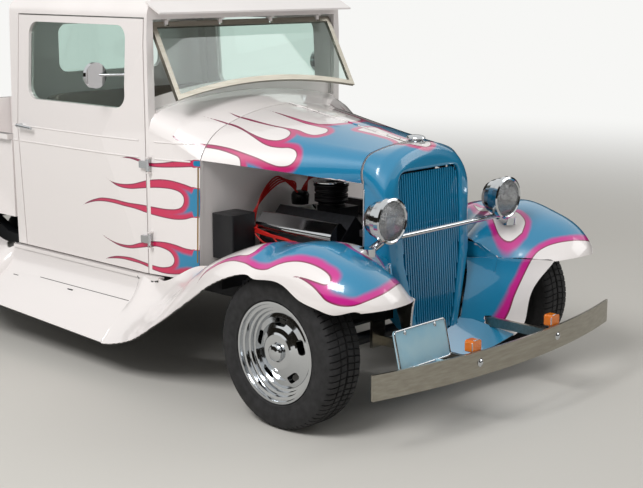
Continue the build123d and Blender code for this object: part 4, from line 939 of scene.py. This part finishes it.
LAMP_FRAME_AFT = -0.589
LAMP_FRAME_X = 0.27
LAMP_FRAME_Z = 0.349
LAMP_FRAME_HALF = (0.0265, 0.0235)
LAMP_WIRE_R = 0.003
CUT_CORNERS = (
    (1, 0.6), (0.6, 1), (-0.6, 1), (-1, 0.6),
    (-1, -0.6), (-0.6, -1), (0.6, -1), (1, -0.6))
frames = bmesh.new()
for x in (-LAMP_FRAME_X, LAMP_FRAME_X):
    frame_ring = [
        (x + LAMP_FRAME_HALF[0] * sx, aft(LAMP_FRAME_AFT), LAMP_FRAME_Z + LAMP_FRAME_HALF[1] * sz)
        for sx, sz in CUT_CORNERS]
    bar(frames, frame_ring, LAMP_WIRE_R, sides=8, closed=True)
fitted("turn_lamp_frames", frames, chrome, "truck")

# Headlamp bulbs
# A frosted bulb stands at the focus of each plated reflector, behind the fluted lens.
LAMP_PLACE = (0.385, -0.255, 0.814)
BULB_BEHIND = 0.05
BULB_PROFILE = (
    (0, -0.02), (0.007, -0.02), (0.007, -0.006), (0.011, 0.001), (0.012, 0.008), (0.009, 0.015),
    (0.004, 0.018), (0, 0.019))
bulb_glass, tree, shader = material(
    "frosted_bulb", {"Base Color": linear("F2EEE2"), "Roughness": 0.25, "Coat Weight": 0.5})
bulbs = bmesh.new()
for sign in (1, -1):
    focus = Vector((sign * LAMP_PLACE[0], aft(LAMP_PLACE[1] + BULB_BEHIND), LAMP_PLACE[2]))
    turned(bulbs, BULB_PROFILE, Matrix.Translation(focus) @ FACING_FRONT, sides=20)
fitted("headlamp_bulbs", bulbs, bulb_glass, "truck")

# Plate frame
# A plated wire frame pressed over the plate's edge, and its two screws.
PLATE_LEAN = math.radians(-14)
PLATE_PLACE = Matrix.Translation((-0.5, aft(-0.504), 0.389)) @ Matrix.Rotation(PLATE_LEAN, 4, "X")
PLATE_HALF = (0.1495, 0.0730)
PLATE_FACE = -0.004
FRAME_R = 0.0035
CORNER_R = 0.012
SCREW_X = 0.089
SCREW_PLACE = (-0.003, 0.06)
SCREW_SIZE = 0.5
frame_route = []
for corner, (cx, cz) in enumerate(((1, 1), (-1, 1), (-1, -1), (1, -1))):
    for k in range(7):
        angle = math.radians(90 * corner + 15 * k)
        frame_route.append(PLATE_PLACE @ Vector((
            cx * (PLATE_HALF[0] - CORNER_R) + CORNER_R * math.cos(angle), PLATE_FACE,
            cz * (PLATE_HALF[1] - CORNER_R) + CORNER_R * math.sin(angle))))
plate_trim = bmesh.new()
bar(plate_trim, frame_route, FRAME_R, closed=True)
screw = [(r * SCREW_SIZE, h * SCREW_SIZE) for r, h in BOLT_PROFILE]
for x in (-SCREW_X, SCREW_X):
    place = PLATE_PLACE @ Matrix.Translation((x, *SCREW_PLACE)) @ FACING_FRONT
    turned(plate_trim, screw, place, sides=16)
fitted("plate_frame", plate_trim, chrome, "truck")

# Air cleaner
# A round filter can in black enamel with pressed ribs round its side, under a plated lid.
ribbed_black, tree, shader = material(
    "ribbed_black_enamel", {"Base Color": linear("121214"), "Roughness": 0.3})
place = node(tree, "ShaderNodeTexCoord")
ribs = node(tree, "ShaderNodeTexWave", {"Vector": place.outputs["Object"], "Scale": 16.0},
            bands_direction="Z")
raised = node(tree, "ShaderNodeBump", {"Height": ribs.outputs["Fac"], "Distance": 0.004})
tree.links.new(raised.outputs[0], shader.inputs["Normal"])
dress("air_cleaner", ribbed_black)
LID_PROFILE = (
    (0, -0.003), (0.082, -0.003), (0.084, -0.001), (0.084, 0.003), (0.081, 0.006), (0.060, 0.007),
    (0.056, 0.010), (0.020, 0.011), (0.011, 0.012), (0.010, 0.020), (0.007, 0.024), (0, 0.025))
cleaner_low, cleaner_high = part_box("air_cleaner")
can_top = (0, (cleaner_low[1] + cleaner_high[1]) / 2, cleaner_high[2])
lid = bmesh.new()
turned(lid, LID_PROFILE, Matrix.Translation(can_top), sides=64)
fitted("air_cleaner_lid", lid, chrome, "truck")

# Spark-plug leads
# Red silicone leads from the plugs under each valve cover, gathered in a loom along its
# side, then up over its rear end to a black distributor cap at the back of the engine.
DISTRIBUTOR = (0.0, 0.635, 0.752)
DISTRIBUTOR_PROFILE = (
    (0, -0.02), (0.040, -0.02), (0.042, 0.0), (0.042, 0.022), (0.036, 0.034), (0.026, 0.040),
    (0.010, 0.042), (0, 0.042))
FIRST_PLUG = 0.19
PLUG_PITCH = 0.11
LOOM_PITCH = 0.008
LEAD_R = 0.004
red_silicone, tree, shader = material(
    "red_silicone_lead", {"Base Color": linear("B81A14"), "Roughness": 0.4})
leads = bmesh.new()
for sign in (1, -1):
    for i in range(4):
        plug = FIRST_PLUG + PLUG_PITCH * i
        drop = LOOM_PITCH * i
        route = [
            (sign * 0.300, aft(plug), 0.600),
            (sign * 0.335, aft(plug + 0.02), 0.615),
            (sign * 0.345, aft(plug + 0.07), 0.640 + drop),
            (sign * 0.345, aft(0.56), 0.655 + drop),
            (sign * (0.325 - drop), aft(0.622), 0.700),
            (sign * 0.240, aft(0.640), 0.780 + drop),
            (sign * 0.130, aft(0.640 + drop), 0.842 + drop),
            (sign * (0.045 + drop), aft(0.628 + drop), 0.838),
            (sign * (0.020 + 0.4 * drop), aft(0.635 - drop + 0.012), 0.788)]
        bar(leads, smooth_run(route), LEAD_R, sides=8)
fitted("spark_leads", leads, red_silicone, "truck")
black_resin, tree, shader = material(
    "black_resin", {"Base Color": linear("141415"), "Roughness": 0.25})
distributor = bmesh.new()
stand = Matrix.Translation((DISTRIBUTOR[0], aft(DISTRIBUTOR[1]), DISTRIBUTOR[2]))
turned(distributor, DISTRIBUTOR_PROFILE, stand)
fitted("distributor_cap", distributor, black_resin, "truck")
